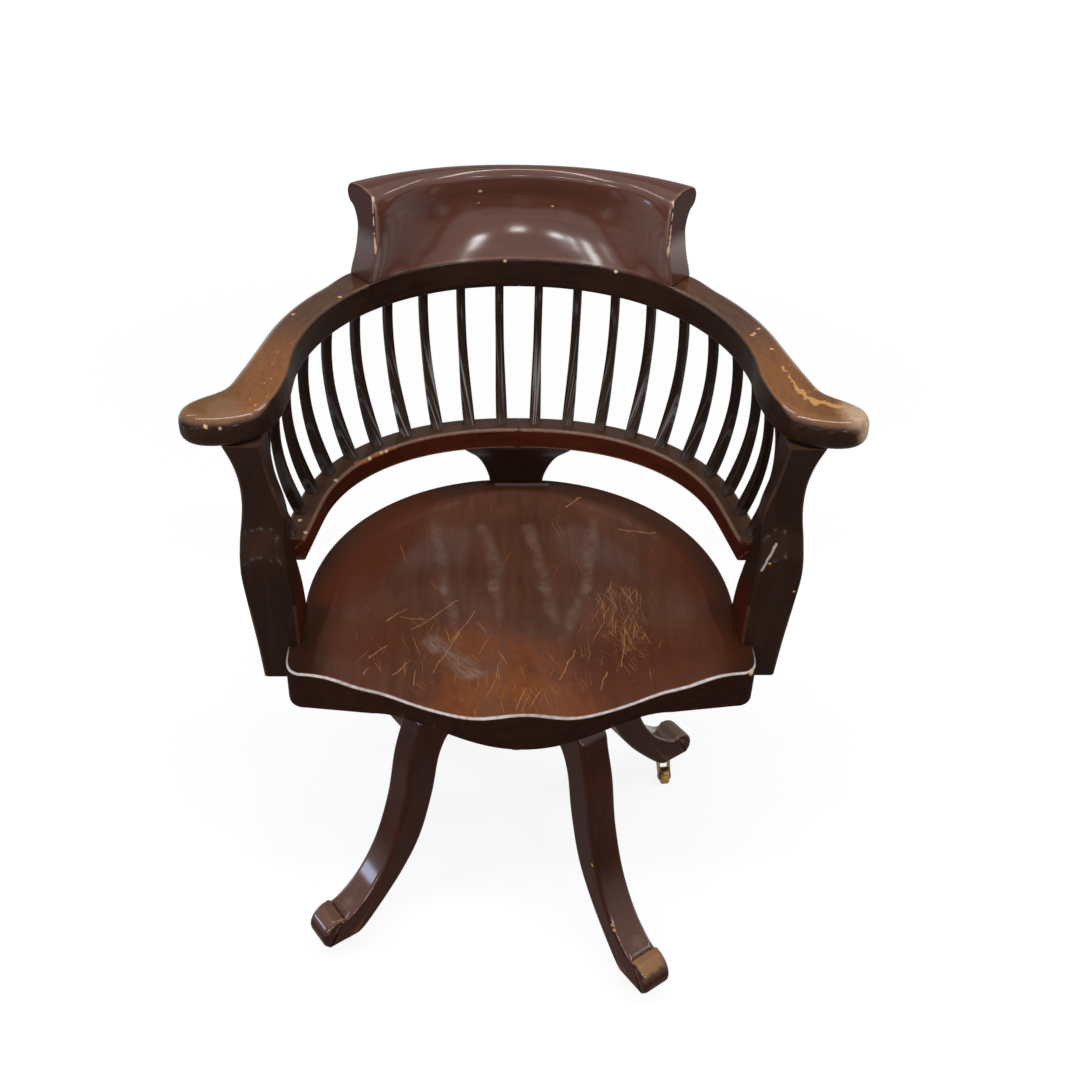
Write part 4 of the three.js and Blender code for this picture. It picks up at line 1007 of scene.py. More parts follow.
def buildPost():
    # A station gives a height, the inner and the outer side, the front and the back, all as shares of the board.
    p = postLook
    height = p["top"] - p["foot"]
    line = evenly(splineThrough(p["stations"], 8), 130)

    def frontLine(rise):
        rise = min(max(rise, 0), 1)
        for a, b in zip(line, line[1:]):
            if b[0] >= rise:
                share = (rise - a[0]) / max(b[0] - a[0], 1e-9)
                return max(a[3] + (b[3] - a[3]) * share, 0)
        return line[-1][3]

    def frontAt(rise):
        return sum(frontLine(rise + step * p["blur"]) for step in range(-2, 3)) / 5

    rings = []
    for rise, inner, outer, _, back in line:
        left, right = p["inner"] + inner * p["thickness"], p["inner"] + outer * p["thickness"]
        rear = -p["front"] + back * p["depth"]
        z = p["foot"] + rise * height
        ring = roundedRing(left, right, 0, 1, p["edge"])
        fronts = [q for q in ring if q.y < 0.5]
        middle = len(fronts) // 2
        span = right - left - 2 * p["edge"]
        flat = [Vector((left + p["edge"] + span * i / p["divisions"], 0)) for i in range(1, p["divisions"])]
        shaped = [Vector((q.x, rear - (1 - q.y), z)) for q in ring if q.y >= 0.5]
        for q in fronts[:middle - 1] + flat + fronts[middle + 1:]:
            across = (q.x - (left + right) / 2) / ((right - left) / 2)
            eased = 1 - smooth(rise, *p["archFades"])
            face = frontAt(rise + p["arch"] * across * across * eased)
            shaped.append(Vector((q.x, -p["front"] + face * p["depth"] + q.y, z)))
        rings.append([q + axis for q in shaped])
    centre = sum(rings[0], Vector()) / len(rings[0])
    foot = raised([q.lerp(centre, p["footInset"]) for q in rings[0]], p["foot"])
    rings[0] = raised(rings[0], p["foot"] + edgeClear)
    return skin("post_right", [foot] + rings)


standsTwice(buildPost(), postWood, "dark_mahogany", "arm_post")
print("posts made")


# Lower rail: two bent halves, squared against the backs of the posts

railLook = {
    "halfWidth": 0.220, "rear": 0.164, "depth": 0.194, "roundness": 2.25, "roundEnd": 78,
    "frontInner": 0.229, "width": 0.027, "top": 0.562, "height": 0.027, "edge": 0.003,
}
postBack = -postLook["front"] + postLook["stations"][4][4] * postLook["depth"] + gap


def railLine():
    r = railLook
    run = horseshoeRun(r["halfWidth"], r["depth"], r["rear"] - r["depth"], r["roundness"], r["roundEnd"], 20)
    return splineThrough(run + [Vector((r["frontInner"], postBack))], 6)


def buildRail():
    r = railLook
    line = evenly(railLine(), 60)
    section = roundedRing(0, r["width"], 0, r["height"], r["edge"])
    rings = []
    for i, p in enumerate(line):
        outward = -sideways(line, i, False)
        if i == 0:
            p, outward = Vector((halfGap, p.y)), Vector((0, 1))
        ring = []
        for q in section:
            spot = p + outward * q.x
            if i == len(line) - 1:
                spot.y = postBack
            ring.append(Vector((spot.x, spot.y, r["top"] - r["height"] + q.y)) + axis)
        rings.append(ring)
    return skin("rail_right", rings)


standsTwice(buildRail(), railWood, "dark_mahogany", "lower_rail")
print("rails made")


# Arm bow: rounded above and below, swept out into a knuckle, in two halves that meet behind the sitter

bowLook = {
    "top": 0.741, "thickness": 0.036, "halfWidth": 0.237, "rear": 0.243, "roundness": 2.12, "innerEnd": 83,
    "outerHalfWidth": 0.276, "outerRear": 0.280, "outerRoundness": 2.08, "outerEnd": 77,
    "spread": 0.058, "front": 0.095,
    "arris": (0.0028, 0.0028), "back": (0.012, 0.0095), "knuckle": (0.0155, 0.0165), "below": (0.005, 0.005),
    "knuckleBelow": (0.012, 0.013), "crestEnd": 43, "crestFade": 9, "backOver": (0.03, 0.10),
    "armScale": 0.25, "knuckleAhead": (0.045, 0.085), "knuckleBeside": (0.225, 0.25),
    "outer": [(0.1362, -0.05), (0.3321, 0.34), (0.4817, 0.435), (0.7006, 0.53), (0.9021, 0.635), (1.0, 0.75),
              (0.9597, 0.87), (0.7812, 0.965), (0.5048, 1.0), (0.165, 0.975), (-0.1575, 0.895), (-0.336, 0.82)],
    "inner": [(0.1349, 0.53), (0.0024, 0.12)],
}


def bowInside(steps):
    # The bow's inner line, from the middle of the back to the knuckle.
    b = bowLook
    curve = horseshoeRun(b["halfWidth"], b["rear"], 0, b["roundness"], b["innerEnd"], steps)
    return curve + [Vector((b["halfWidth"] + x * b["spread"], -y * b["front"])) for x, y in b["inner"][::-1]]


def bowOutline(count=560):
    b = bowLook
    outer = horseshoeRun(b["outerHalfWidth"], b["outerRear"], 0, b["outerRoundness"], b["outerEnd"], 24)
    outside = [Vector((b["outerHalfWidth"] + x * b["spread"], -y * b["front"])) for x, y in b["outer"][::-1]]
    half = splineThrough(bowInside(24) + outside + outer[::-1], 6)
    half = evenly(half, count // 2 + 1)
    other = [Vector((-q.x, q.y)) for q in half[::-1]]
    return evenly(half + other[1:-1], count, True)


def roundedBoard(outline, thickness, above, below, steps=6):
    # Rings of a flat board; above and below give the width and the height of the rounding at a point.
    inward = [-sideways(outline, i, True) for i in range(len(outline))]
    upper, lower = [above(p) for p in outline], [below(p) for p in outline]

    def rounding(eases, sin, cos, base, sign):
        spots = []
        for p, n, (across, rise) in zip(outline, inward, eases):
            flat = p + n * across * (1 - sin)
            spots.append(Vector((flat.x, flat.y, base + sign * rise * (1 - cos))))
        return spots

    def flatRing(eases, base):
        return [Vector((*(p + n * (across + edgeClear)), base)) for p, n, (across, _) in zip(outline, inward, eases)]

    def sideRing(eases, base, sign):
        return [Vector((p.x, p.y, base + sign * (rise + sideClear))) for p, (_, rise) in zip(outline, eases)]

    turns = quarterTurns(steps)
    rings = [flatRing(lower, 0)] + [rounding(lower, *turn, 0, 1) for turn in turns]
    rings += [sideRing(lower, 0, 1), sideRing(upper, thickness, -1)]
    return rings + [rounding(upper, *turn, thickness, -1) for turn in turns[::-1]] + [flatRing(upper, thickness)]


def mixed(first, second, share):
    return tuple(a + (b - a) * share for a, b in zip(first, second))


def knuckleShare(p):
    return smooth(-p.y, *bowLook["knuckleAhead"]) * smooth(abs(p.x), *bowLook["knuckleBeside"])


def bowAbove(p):
    # Crisp on the inside and under the crest rail, well rounded on the outside, a full roll at the knuckle.
    b = bowLook
    side = abs(p.x)
    turn = math.degrees(math.atan2(side, p.y))
    if p.y > 0:
        outward = math.hypot(side / b["halfWidth"], p.y / b["rear"]) - 1
    else:
        outward = (side - b["halfWidth"]) / b["armScale"]
    outside = smooth(outward, *b["backOver"]) * smooth(turn, b["crestEnd"], b["crestEnd"] + b["crestFade"])
    return mixed(mixed(b["arris"], b["back"], outside), b["knuckle"], knuckleShare(p))


def bowBelow(p):
    return mixed(bowLook["below"], bowLook["knuckleBelow"], knuckleShare(p))


def buildBow():
    b = bowLook
    rings = roundedBoard(bowOutline(), b["thickness"], bowAbove, bowBelow)
    base = b["top"] - b["thickness"]
    bow = skin("bow_right", [[p + axis + Vector((0, 0, base)) for p in ring] for ring in rings])
    build = bmesh.new()
    build.from_mesh(bow.data)
    geometry = build.verts[:] + build.edges[:] + build.faces[:]
    cut = bmesh.ops.bisect_plane(build, geom=geometry, plane_co=(halfGap, 0, 0), plane_no=(1, 0, 0), clear_inner=True)
    edges = [e for e in cut["geom_cut"] if isinstance(e, bmesh.types.BMEdge)]
    bmesh.ops.contextual_create(build, geom=edges)
    bpy.data.objects.remove(bow)
    return finished("bow_right", build)


standsTwice(buildBow(), armWood, "worn_mahogany", "arm_bow")
print("bows made")


# Crest rail: in the middle the face is hollow and upright, at the ends it leans in

crestLook = {
    "angle": 43, "foot": 0.7413, "height": 0.1082, "endRise": 0.0028, "footDepth": 0.033, "endRound": 0.003,
    "radius": 0.24,
    "middle": [(0.0, 0.0), (0.17, 0.13), (0.33, 0.29), (0.40, 0.46), (0.31, 0.64), (0.09, 0.8), (-0.045, 0.92),
               (0.03, 0.975), (0.12, 1.0), (0.33, 0.995), (0.55, 0.965), (0.64, 0.91), (0.7, 0.85), (0.82, 0.79),
               (0.94, 0.67), (1.03, 0.53), (1.06, 0.38), (1.06, 0.23), (1.03, 0.09), (1.0, 0.0)],
    "end": [(0.0, 0.0), (-0.15, 0.13), (-0.32, 0.29), (-0.455, 0.46), (-0.53, 0.64), (-0.53, 0.8), (-0.42, 0.92),
            (-0.18, 0.975), (0.18, 1.0), (0.61, 0.995), (0.85, 0.965), (0.92, 0.91), (0.88, 0.85), (0.65, 0.79),
            (0.515, 0.67), (0.515, 0.53), (0.59, 0.38), (0.73, 0.23), (0.91, 0.09), (1.0, 0.0)],
}


def bowRadius(angle):
    b = bowLook
    across, behind = math.sin(abs(angle)) / b["halfWidth"], math.cos(angle) / b["rear"]
    return (across ** b["roundness"] + behind ** b["roundness"]) ** (-1 / b["roundness"])


def crestSection(key):
    curve = splineThrough(crestLook[key], 5)
    return curve + [curve[-1].lerp(curve[0], i / 6) for i in range(1, 6)]


def buildCrest():
    c = crestLook
    middle, end = crestSection("middle"), crestSection("end")
    last = math.radians(c["angle"])

    def ringAt(angle, inset):
        endward = (angle / last) ** 2
        height = c["height"] + c["endRise"] * endward
        shares = [a.lerp(b, endward) for a, b in zip(middle, end)]
        section = [Vector((p.x * c["footDepth"], p.y * height)) for p in shares]
        centre = sum(section, Vector((0, 0))) / len(section)
        ring = []
        for p in section:
            arm = p - centre
            spot = centre + arm * max(1 - inset / arm.length, 0)
            radius = bowRadius(angle) + spot.x
            ring.append(Vector((radius * math.sin(angle), radius * math.cos(angle), c["foot"] + spot.y)) + axis)
        return ring

    ease = c["endRound"]
    start = last - ease / c["radius"]
    left = [(-last, ease + endInset)]
    left += [(-last + ease * (1 - cos) / c["radius"], ease * (1 - sin)) for sin, cos in quarterTurns(5)]
    between = [(-start + 2 * start * i / 72, 0) for i in range(1, 72)]
    right = [(-angle, inset) for angle, inset in left[::-1]]
    return skin("crest", [ringAt(angle, inset) for angle, inset in left + between + right])


stands(buildCrest(), "seat", crestWood, "dark_mahogany", "crest_rail")
print("crest made")


# Spindles: one run for both sides, made by a tree that skins a squared section along every path

spindleLook = {
    "perSide": 10, "footSpacing": 0.0386, "headSpacing": 0.0455, "footInset": 0.0175, "headInset": 0.016,
    "bow": 0.026, "footSize": 0.013, "shaftSize": 0.0095, "taper": 0.6, "chamfer": 0.17, "points": 20,
}


def lineAt(line, distance):
    # The place that far along a line, and the line's direction there.
    run = 0
    for a, b in zip(line, line[1:]):
        step = (b - a).length
        if run + step >= distance:
            return a.lerp(b, (distance - run) / step), (b - a).normalized()
        run += step
    return line[-1], (line[-1] - line[-2]).normalized()


def spindlePaths():
    # For each spindle a run of places, each with its outward direction and its size.
    s = spindleLook
    footLine = drawnIn(railLine(), s["footInset"], False)
    headLine = drawnIn(splineThrough(bowInside(20), 6), s["headInset"], False)
    bottom, top = railLook["top"] + gap, bowLook["top"] - bowLook["thickness"] - gap
    paths = []
    for side in (1, -1):
        for i in range(s["perSide"]):
            foot, footRun = lineAt(footLine, (i + 0.5) * s["footSpacing"])
            head, headRun = lineAt(headLine, (i + 0.5) * s["headSpacing"])
            footOut, headOut = Vector((-footRun.y, footRun.x)), Vector((-headRun.y, headRun.x))
            bend = (foot + head) / 2 + (footOut + headOut).normalized() * s["bow"]
            points = []
            for k in range(s["points"]):
                share = k / (s["points"] - 1)
                flat = foot.lerp(bend, share).lerp(bend.lerp(head, share), share)
                out = footOut.lerp(headOut, share).normalized()
                size = s["footSize"] + (s["shaftSize"] - s["footSize"]) * smooth(share, 0, s["taper"])
                spot = Vector((side * flat.x, flat.y, bottom + (top - bottom) * share)) + axis
                points.append((spot, Vector((side * out.x, out.y, 0)), size))
            paths.append(points)
    return paths


def pathCurves(name, paths):
    # Poly splines as a mesh of edges, with each point's outward direction and size as attributes.
    mesh = bpy.data.meshes.new(name)
    spots = [p for path in paths for p in path]
    edges, start = [], 0
    for path in paths:
        edges += [(start + i, start + i + 1) for i in range(len(path) - 1)]
        start += len(path)
    mesh.from_pydata([p[0] for p in spots], edges, [])
    outward = mesh.attributes.new("outward", "FLOAT_VECTOR", "POINT")
    outward.data.foreach_set("vector", [v for p in spots for v in p[1]])
    size = mesh.attributes.new("size", "FLOAT", "POINT")
    size.data.foreach_set("value", [p[2] for p in spots])
    return linked(name, mesh)


class Tree(Nodes):
    # A geometry tree with named inputs.
    def __init__(self, name, inputs):
        super().__init__(bpy.data.node_groups.new(name, "GeometryNodeTree"))
        face = self.tree.interface
        face.new_socket("Geometry", in_out="INPUT", socket_type="NodeSocketGeometry")
        self.identifiers = {}
        for key, (kind, value) in inputs.items():
            socket = face.new_socket(key, in_out="INPUT", socket_type=kind)
            socket.default_value = value
            self.identifiers[key] = socket.identifier
        face.new_socket("Geometry", in_out="OUTPUT", socket_type="NodeSocketGeometry")
        self.start = self.add("NodeGroupInput", {}, {})

    def finish(self, geometry, material):
        real = self.add("GeometryNodeRealizeInstances", {}, {0: geometry})
        painted = self.add("GeometryNodeSetMaterial", {}, {0: real.out(0), "Material": material})
        self.add("NodeGroupOutput", {}, {0: painted.out(0)})

    def bake(self, piece, values, crease=creaseAngle):
        modifier = piece.modifiers.new(self.tree.name, "NODES")
        modifier.node_group = self.tree
        for key, value in values.items():
            modifier[self.identifiers[key]] = value
        applied(piece)
        creased(piece.data, crease)
        return piece


def spindleTree(material):
    tree = Tree("squared spindles", {"Corner": ("NodeSocketFloat", spindleLook["chamfer"])})
    curves = tree.add("GeometryNodeMeshToCurve", {}, {0: tree.start.out("Geometry")})
    outward = tree.add("GeometryNodeInputNamedAttribute", {"data_type": "FLOAT_VECTOR"}, {"Name": "outward"})
    size = tree.add("GeometryNodeInputNamedAttribute", {"data_type": "FLOAT"}, {"Name": "size"})
    upright = tree.add("GeometryNodeSetCurveNormal", {"mode": "FREE"}, {0: curves.out(0), "Normal": outward.out(0)})
    square = tree.add("GeometryNodeCurvePrimitiveQuadrilateral", {"mode": "RECTANGLE"}, {"Width": 1.0, "Height": 1.0})
    sockets = {0: square.out(0), "Count": 3, "Radius": tree.start.out("Corner")}
    eased = tree.add("GeometryNodeFilletCurve", {"mode": "POLY"}, sockets)
    sockets = {"Curve": upright.out(0), "Profile Curve": eased.out(0), "Scale": size.out(0), "Fill Caps": True}
    skinned = tree.add("GeometryNodeCurveToMesh", {}, sockets)
    tree.finish(skinned.out(0), material)
    return tree


spindles = pathCurves("spindles", spindlePaths())
spindleTree(spindleWood).bake(spindles, {"Corner": spindleLook["chamfer"]})
spindleNodes = [f"spindle_{side}_{i + 1}" for side in sides for i in range(spindleLook["perSide"])]
stands(spindles, "seat", spindleWood, "dark_mahogany", *spindleNodes)
print("spindles made")


# Centre support: a flared bracket between the seat's rear edge and the lower rail

supportLook = {
    "foot": 0.410, "top": 0.5347, "flat": 0.2113, "footHalf": 0.033, "headHalf": 0.067, "thickness": 0.024,
    "lean": 0.0473, "edge": 0.003,
    "stations": [(0.0, 0.0, 0.0), (0.36, 0.0, 0.0), (0.46, 0.08, 0.04), (0.6, 0.24, 0.18), (0.75, 0.47, 0.42),
                 (0.88, 0.76, 0.72), (1.0, 1.0, 1.0)],
}


def buildSupport():
    s = supportLook
    rings = []
    for rise, flare, forward in evenly(splineThrough(s["stations"], 8), 50):
        half = s["footHalf"] + max(flare, 0) * (s["headHalf"] - s["footHalf"])
        front = s["flat"] - max(forward, 0) * s["lean"]
        z = s["foot"] + rise * (s["top"] - s["foot"])
        ring = roundedRing(-half, half, front, front + s["thickness"], s["edge"])
        rings.append([Vector((p.x, p.y, z)) + axis for p in ring])
    return skin("support", rings)


stands(buildSupport(), "seat", darkWood, "dark_mahogany", "centre_support")
print("support made")


# Legs: sabre-shaped boards with eased edges, a step and a rounded block at the toe

legLook = {
    "reach": 0.290, "toe": 0.0385, "top": 0.350, "root": 0.0563, "thickness": 0.038, "edge": 0.005, "turn": 34.4,
    "outer": [(0.4, 1.0), (0.465, 0.9933), (0.503, 0.9607), (0.522, 0.8989), (0.561, 0.7753), (0.604, 0.5539),
              (0.679, 0.345), (0.773, 0.2067), (0.865, 0.1337), (0.892, 0.1225)],
    "toes": [(0.908, 0.136), (0.944, 0.1303), (0.98, 0.1056), (1.0, 0.0674), (0.998, 0.0281), (0.977, 0.0)],
    "inner": [(0.84, 0.0), (0.812, 0.0157), (0.725, 0.1011), (0.61, 0.236), (0.525, 0.3742), (0.459, 0.5764),
              (0.414, 0.7787), (0.368, 0.8539), (0.3, 0.8831)],
}


def legOutline():
    g = legLook
    height = g["top"] - g["toe"]

    def scaled(shares):
        return [Vector((r * g["reach"], g["toe"] + z * height)) for r, z in shares]

    outer = splineThrough(scaled(g["outer"]), 8)
    toes = splineThrough(scaled(g["toes"]), 5)
    inner = splineThrough(scaled(g["inner"]), 8)
    above, below = Vector((g["root"], g["top"])), Vector((g["root"], inner[-1].y))
    return ([above] + outer + toes + inner + [below])[::-1]


def buildLeg():
    g = legLook
    outline = legOutline()

    def eased(p):
        return g["edge"], g["edge"]

    rings = roundedBoard(outline, g["thickness"], eased, eased, 4)
    stood = [[Vector((p.z - g["thickness"] / 2, -p.x, p.y)) for p in ring] for ring in rings]
    return skin("leg", stood)


leg = buildLeg()
for i, name in enumerate(corners):
    place = Matrix.Translation(axis) @ Matrix.Rotation(math.radians(legLook["turn"] + 90 * i), 4, "Z")
    stands(moved(leg, place, f"sabre_{name}"), "base", legWood, "dark_mahogany", f"leg_{name}")
bpy.data.objects.remove(leg)
print("legs made")


# Metal: the solids with eased edges, a cut thread, lathe-turned castor wheels and slotted screws

metalLook = {
    "hub": ("base", darkWood, "dark_mahogany", 0.0025), "hub_plate": ("base", iron, "cast_iron", 0.0010),
    "screw_bush": ("base", iron, "cast_iron", 0.0005), "hand_wheel": ("hand_wheel", iron, "cast_iron", 0.0012),
    "thrust_washer": ("spindle", brass, "brass", 0.0005), "seat_iron": ("seat", iron, "cast_iron", 0.0012),
    "plate": ("base", tarnished, "brass", 0.0004), "horn": ("castor", tarnished, "brass", 0.0006),
    "axle": ("castor", steel, "steel", 0.0004),
}


def buildMetal():
    for key, (body, material, slot, width) in metalLook.items():
        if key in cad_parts:
            stands(bevelled(copied(key), width), body, material, slot, key)
            continue
        for name in corners:
            node = f"castor_{key}_{name}"
            rides = f"castor_{name}" if body == "castor" else body
            stands(bevelled(copied(node), width), rides, material, slot, node)


wheelLook = {"bore": 0.00255, "radius": 0.012, "half": 0.0055, "round": 0.0018, "dish": 0.0008, "dishTo": 0.0054,
             "dishFrom": 0.0086, "rim": 0.0092, "hub": 0.0048, "hubDrop": 0.0001}


def buildCastorWheels():
    w = wheelLook
    half = [(w["radius"] - w["round"] * (1 - cos), w["half"] - w["round"] * (1 - sin)) for sin, cos in quarterTurns(4)]
    dish, hub = w["half"] - w["dish"], w["half"] - w["hubDrop"]
    half += [(w["rim"], w["half"]), (w["dishFrom"], dish), (w["dishTo"], dish), (w["hub"], hub), (w["bore"], hub)]
    profile = half + [(r, -z) for r, z in half[::-1]]
    for name in corners:
        low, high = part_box(f"castor_wheel_{name}")
        centre = (low + high) / 2
        pinLow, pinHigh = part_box(f"castor_plate_{name}")
        trail = centre - (pinLow + pinHigh) / 2
        wheel = lathe("turned_wheel", profile)
        wheel.name = f"turned_wheel_{name}"
        turn = Matrix.Rotation(math.atan2(trail.y, trail.x), 4, "Z") @ Matrix.Rotation(math.pi / 2, 4, "X")
        wheel.data.transform(Matrix.Translation(centre) @ turn)
        stands(wheel, f"wheel_{name}", brass, "brass", f"castor_wheel_{name}")


threadLook = {"pitch": 0.008, "root": 0.0112, "crest": 0.0124, "thick": 0.0034, "keyway": 0.0023, "keyFloor": 0.0100,
              "keyEnd": 0.0044, "journal": 0.009, "chamfer": 0.001, "collar": 0.011, "collarCone": 0.012,
              "taper": 0.8, "starts": 0.002, "ends": 0.005, "sunk": 0.0002, "centre": 0.0005}


def threadCore(foot, shoulder, end):
    # The turned rod: a chamfered foot, the root of the thread, a collar and a chamfered journal.
    t = threadLook
    root, journal, chamfer = t["root"], t["journal"], t["chamfer"]
    profile = [(t["centre"], foot), (root - chamfer, foot), (root, foot + chamfer), (root, shoulder - t["collarCone"]),
               (t["crest"], shoulder - t["collar"]), (t["crest"], shoulder), (journal, shoulder),
               (journal, end - chamfer), (journal - chamfer, end), (t["centre"], end)]
    return lathe("threaded_spindle", profile, 96)


def threadTree(foot):
    # Sweeps the thread's section along a spiral that starts a little above the foot of the rod.
    t = threadLook
    tree = Tree("square thread", {"Turns": ("NodeSocketFloat", 10.0), "Height": ("NodeSocketFloat", 10 * t["pitch"])})
    turns, height = tree.start.out("Turns"), tree.start.out("Height")
    radius = (t["root"] + t["crest"] - t["sunk"]) / 2
    sockets = {"Resolution": 40, "Rotations": turns, "Start Radius": radius, "End Radius": radius, "Height": height}
    spiral = tree.add("GeometryNodeCurveSpiral", {}, sockets)
    upright = tree.add("GeometryNodeSetCurveNormal", {"mode": "Z_UP"}, {0: spiral.out(0)})
    sockets = {"Height": t["crest"] - t["root"] + t["sunk"], "Bottom Width": t["thick"],
               "Top Width": t["thick"] * t["taper"], "Offset": 0.0}
    section = tree.add("GeometryNodeCurvePrimitiveQuadrilateral", {"mode": "TRAPEZOID"}, sockets)
    section = tree.add("GeometryNodeTransform", {}, {0: section.out(0), "Rotation": (0, 0, math.pi / 2)})
    sockets = {"Curve": upright.out(0), "Profile Curve": section.out(0), "Fill Caps": True}
    swept = tree.add("GeometryNodeCurveToMesh", {}, sockets)
    lifted = tree.add("GeometryNodeTransform", {}, {0: swept.out(0), "Translation": (0, 0, foot + t["starts"])})
    tree.finish(lifted.out(0), steel)
    return tree


def buildThread():
    # The keyway is pressed into thread and core.
    t = threadLook
    low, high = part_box("spindle_screw")
    washerLow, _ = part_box("thrust_washer")
    foot, shoulder = low.z, washerLow.z - gap
    core = threadCore(foot, shoulder, high.z)
    length = shoulder - t["collarCone"] - foot - t["ends"]
    thread = linked("thread", bpy.data.meshes.new("thread"))
    threadTree(foot).bake(thread, {"Turns": length / t["pitch"], "Height": length})
    build = bmesh.new()
    build.from_mesh(core.data)
    build.from_mesh(thread.data)
    for v in build.verts:
        if abs(v.co.x) < t["keyway"] and v.co.y < 0 and v.co.z < shoulder - t["keyEnd"]:
            v.co.y = max(v.co.y, -t["keyFloor"])
        v.co += axis
    bpy.data.objects.remove(core)
    bpy.data.objects.remove(thread)
    stands(finished("threaded_spindle", build, 30), "spindle", steel, "steel", "spindle_screw")


screwLook = {"radius": 0.0042, "rise": 0.0005, "slot": 0.0009, "slotDepth": 0.0012, "depth": 0.0015, "seed": 7,
             "centre": 0.0001, "ironReach": (0.070, 0.138), "ironSpread": 37, "ironDrop": 0.0083,
             "plateReach": (0.046, 0.085)}


def screwHead():
    s = screwLook
    r, foot = s["radius"], -s["depth"]
    profile = [(s["centre"], foot), (r * 0.7, foot), (r, -s["centre"]), (r * 0.93, s["rise"] * 0.5),
               (r * 0.6, s["rise"] * 0.9), (s["centre"], s["rise"])]
    half, beyond = s["slot"] / 2, 0.01
    slot = ((-half, -beyond, s["rise"] - s["slotDepth"]), (half, beyond, beyond))
    return carved(lathe("screw_head", profile, 24), [slot])


def screwsOn(name, spots, body, head):
    # A tree puts a head on every spot, each with its slot turned at random.
    tree = Tree(name, {"Seed": ("NodeSocketInt", screwLook["seed"])})
    shape = tree.add("GeometryNodeObjectInfo", {}, {"Object": head})
    sockets = {2: 0.0, 3: 6.28, "Seed": tree.start.out("Seed")}
    luck = tree.add("FunctionNodeRandomValue", {"data_type": "FLOAT"}, sockets)
    sockets = {"Points": tree.start.out("Geometry"), "Instance": shape.out("Geometry"),
               "Rotation": tree.vector(0, 0, luck.out(1))}
    placed = tree.add("GeometryNodeInstanceOnPoints", {}, sockets)
    tree.finish(placed.out(0), steel)
    mesh = bpy.data.meshes.new(name)
    mesh.from_pydata(spots, [], [])
    piece = tree.bake(linked(name, mesh), {"Seed": screwLook["seed"]}, 30)
    return stands(piece, body, steel, "steel")


def around(headings, reaches, height):
    # Spots at every reach from the axis under every heading.
    return [axis + Vector((r * math.cos(a), r * math.sin(a), height)) for a in headings for r in reaches]


def buildScrews():
    s = screwLook
    up = screwHead()
    down = moved(up, Matrix.Rotation(math.pi, 4, "X"), "screw_head_down")
    spread = math.radians(s["ironSpread"])
    headings = [spread, math.pi - spread, math.pi + spread, -spread]
    under = seatLook["top"] - seatLook["thickness"] - s["ironDrop"]
    screwsOn("seat_iron_screws", around(headings, s["ironReach"], under), "seat", down)
    headings = [math.radians(legLook["turn"] + 90 * i - 90) for i in range(4)]
    _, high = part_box("hub_plate")
    screwsOn("hub_plate_screws", around(headings, s["plateReach"], high.z), "base", up)
    bpy.data.objects.remove(up)
    bpy.data.objects.remove(down)


buildMetal()
buildCastorWheels()
buildThread()
buildScrews()
print("metal made")


# Floor, light and camera

# lift is how bright the floor looks under the chair and farLift far from it; fill and backdrop are the world's greys.
stageLook = {"floor": (0.22, 0.22, 0.22), "lift": 0.85, "farLift": 0.95, "far": (0.3, 6.0), "radius": 12.0, "fill": 0.2,
             "backdrop": 1.0}


def floorPiece():
    s = stageLook
    build = bmesh.new()
    bmesh.ops.create_circle(build, cap_ends=True, radius=s["radius"], segments=96)
    piece = linked("floor", meshFrom("floor", build))
    finish = Finish("pale floor")
    far = (finish.x * finish.x + finish.y * finish.y).between(*s["far"])
    lift = finish.seen() * (far * (s["farLift"] - s["lift"]) + s["lift"])
    finish.surface(Base_Color=s["floor"], Roughness=0.9, Specular_IOR_Level=0.0,
                   Emission_Color=finish.vector(lift, lift, lift), Emission_Strength=1.0)
    piece.data.materials.append(finish.material)


def makeWorld():
    world = bpy.data.worlds.new("studio")
    bpy.context.scene.world = world
    world.use_nodes = True
    air = Nodes(world.node_tree)
    grey = air.blend(air.seen(), (stageLook["fill"],) * 3, (stageLook["backdrop"],) * 3)
    background = air.add("ShaderNodeBackground", {}, {0: grey})
    air.add("ShaderNodeOutputWorld", {}, {0: background.out(0)})


def softLamp(name, place, aim, width, height, glow, tint):
    # glow is how bright the lamp looks; white paper is 1.
    data = bpy.data.lights.new(name, "AREA")
    data.shape = "RECTANGLE"
    data.size, data.size_y, data.energy = width, height, glow * math.pi * width * height
    data.color = tint
    lamp = linked(name, data)
    lamp.location = place
    lamp.rotation_euler = (Vector(aim) - Vector(place)).to_track_quat("-Z", "Y").to_euler()
    lamp.visible_camera = False


white = (1, 1, 1)
chairMiddle = (0, 0.2, 0.78)
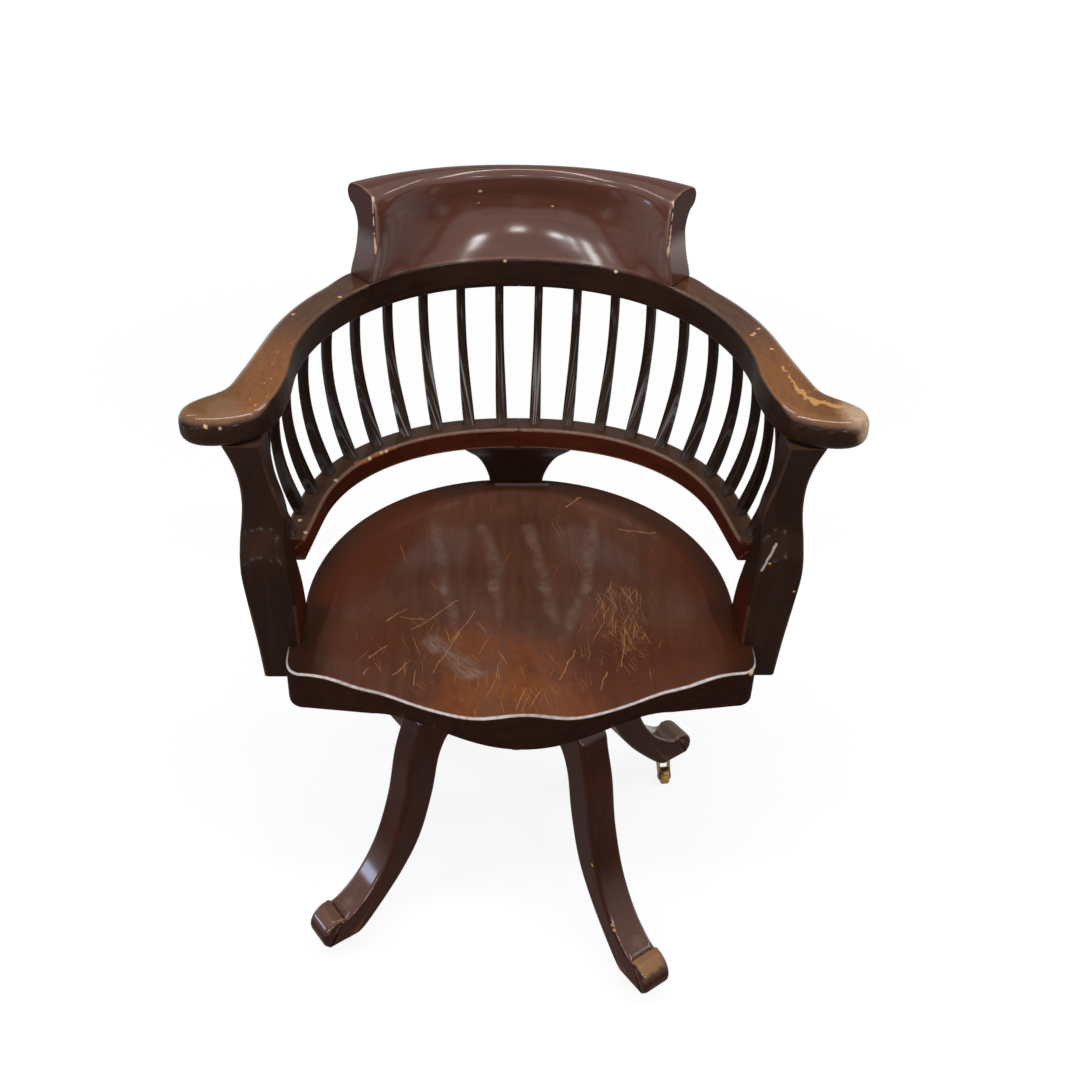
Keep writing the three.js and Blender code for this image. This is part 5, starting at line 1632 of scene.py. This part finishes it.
# Place, aim, width, height, brightness and tint of lamps above, of windows in front that the crest rail mirrors, and of
# light from the sky.
lampLook = {
    "above": [((0, -0.85, 2.6), (0, -0.05, 0.5), 2.8, 0.16, 22, (1.0, 0.985, 0.96)),
              ((-1.75, 0.1, 2.5), (0, 0, 0.6), 0.16, 1.4, 12, white),
              ((1.75, 0.1, 2.5), (0, 0, 0.6), 0.16, 1.4, 12, white)],
    "windows": [((1.12, -2.53, 0.98), chairMiddle, 0.30, 0.30, 34, white),
                ((0.15, -2.75, 0.72), chairMiddle, 0.26, 0.22, 34, white),
                ((-0.83, -2.64, 0.86), chairMiddle, 0.34, 0.24, 34, white),
                ((-1.2, -2.5, 0.86), chairMiddle, 0.16, 0.22, 30, white),
                ((-1.6, -2.26, 0.75), chairMiddle, 0.26, 0.26, 30, white),
                ((-1.9, -1.65, 0.45), chairMiddle, 0.22, 0.22, 30, white)],
    "sky": [((-1.55, 0.42, 0.34), (-0.17, 0.15, 0.8), 0.5, 0.36, 5.0, (0.62, 0.78, 1.0)),
            ((1.50, 0.36, 0.40), (0.17, 0.15, 0.8), 0.6, 0.5, 3.0, white),
            ((-1.6, -0.13, 0.15), (-0.18, -0.13, 0.115), 0.20, 0.20, 16.0, (0.62, 0.72, 1.0))],
}


def lightStudio():
    for group, lamps in lampLook.items():
        for i, lamp in enumerate(lamps):
            softLamp(f"{group}_{i + 1}", *lamp)


# Angles in radians: to the right, down and clockwise.
cameraLook = {"place": (-0.049096, -1.230696, 1.464919), "yaw": 0.05713003, "pitch": 0.65733317, "roll": -0.03658159,
              "lens": 46.754, "sensor": 36}


def makeCamera():
    c = cameraLook
    yaw, pitch, roll = c["yaw"], c["pitch"], c["roll"]
    ahead = Vector((math.sin(yaw) * math.cos(pitch), math.cos(yaw) * math.cos(pitch), -math.sin(pitch)))
    right = Vector((math.cos(yaw), -math.sin(yaw), 0))
    down = ahead.cross(right)
    across = right * math.cos(roll) + down * math.sin(roll)
    below = down * math.cos(roll) - right * math.sin(roll)
    data = bpy.data.cameras.new("camera")
    data.sensor_width = c["sensor"]
    data.lens = c["lens"]
    camera = linked("camera", data)
    camera.matrix_world = Matrix.Translation(c["place"]) @ Matrix((across, -below, -ahead)).transposed().to_4x4()
    bpy.context.scene.camera = camera


floorPiece()
makeWorld()
lightStudio()
makeCamera()
bpy.context.scene.view_settings.view_transform = "Standard"
print("stage made")
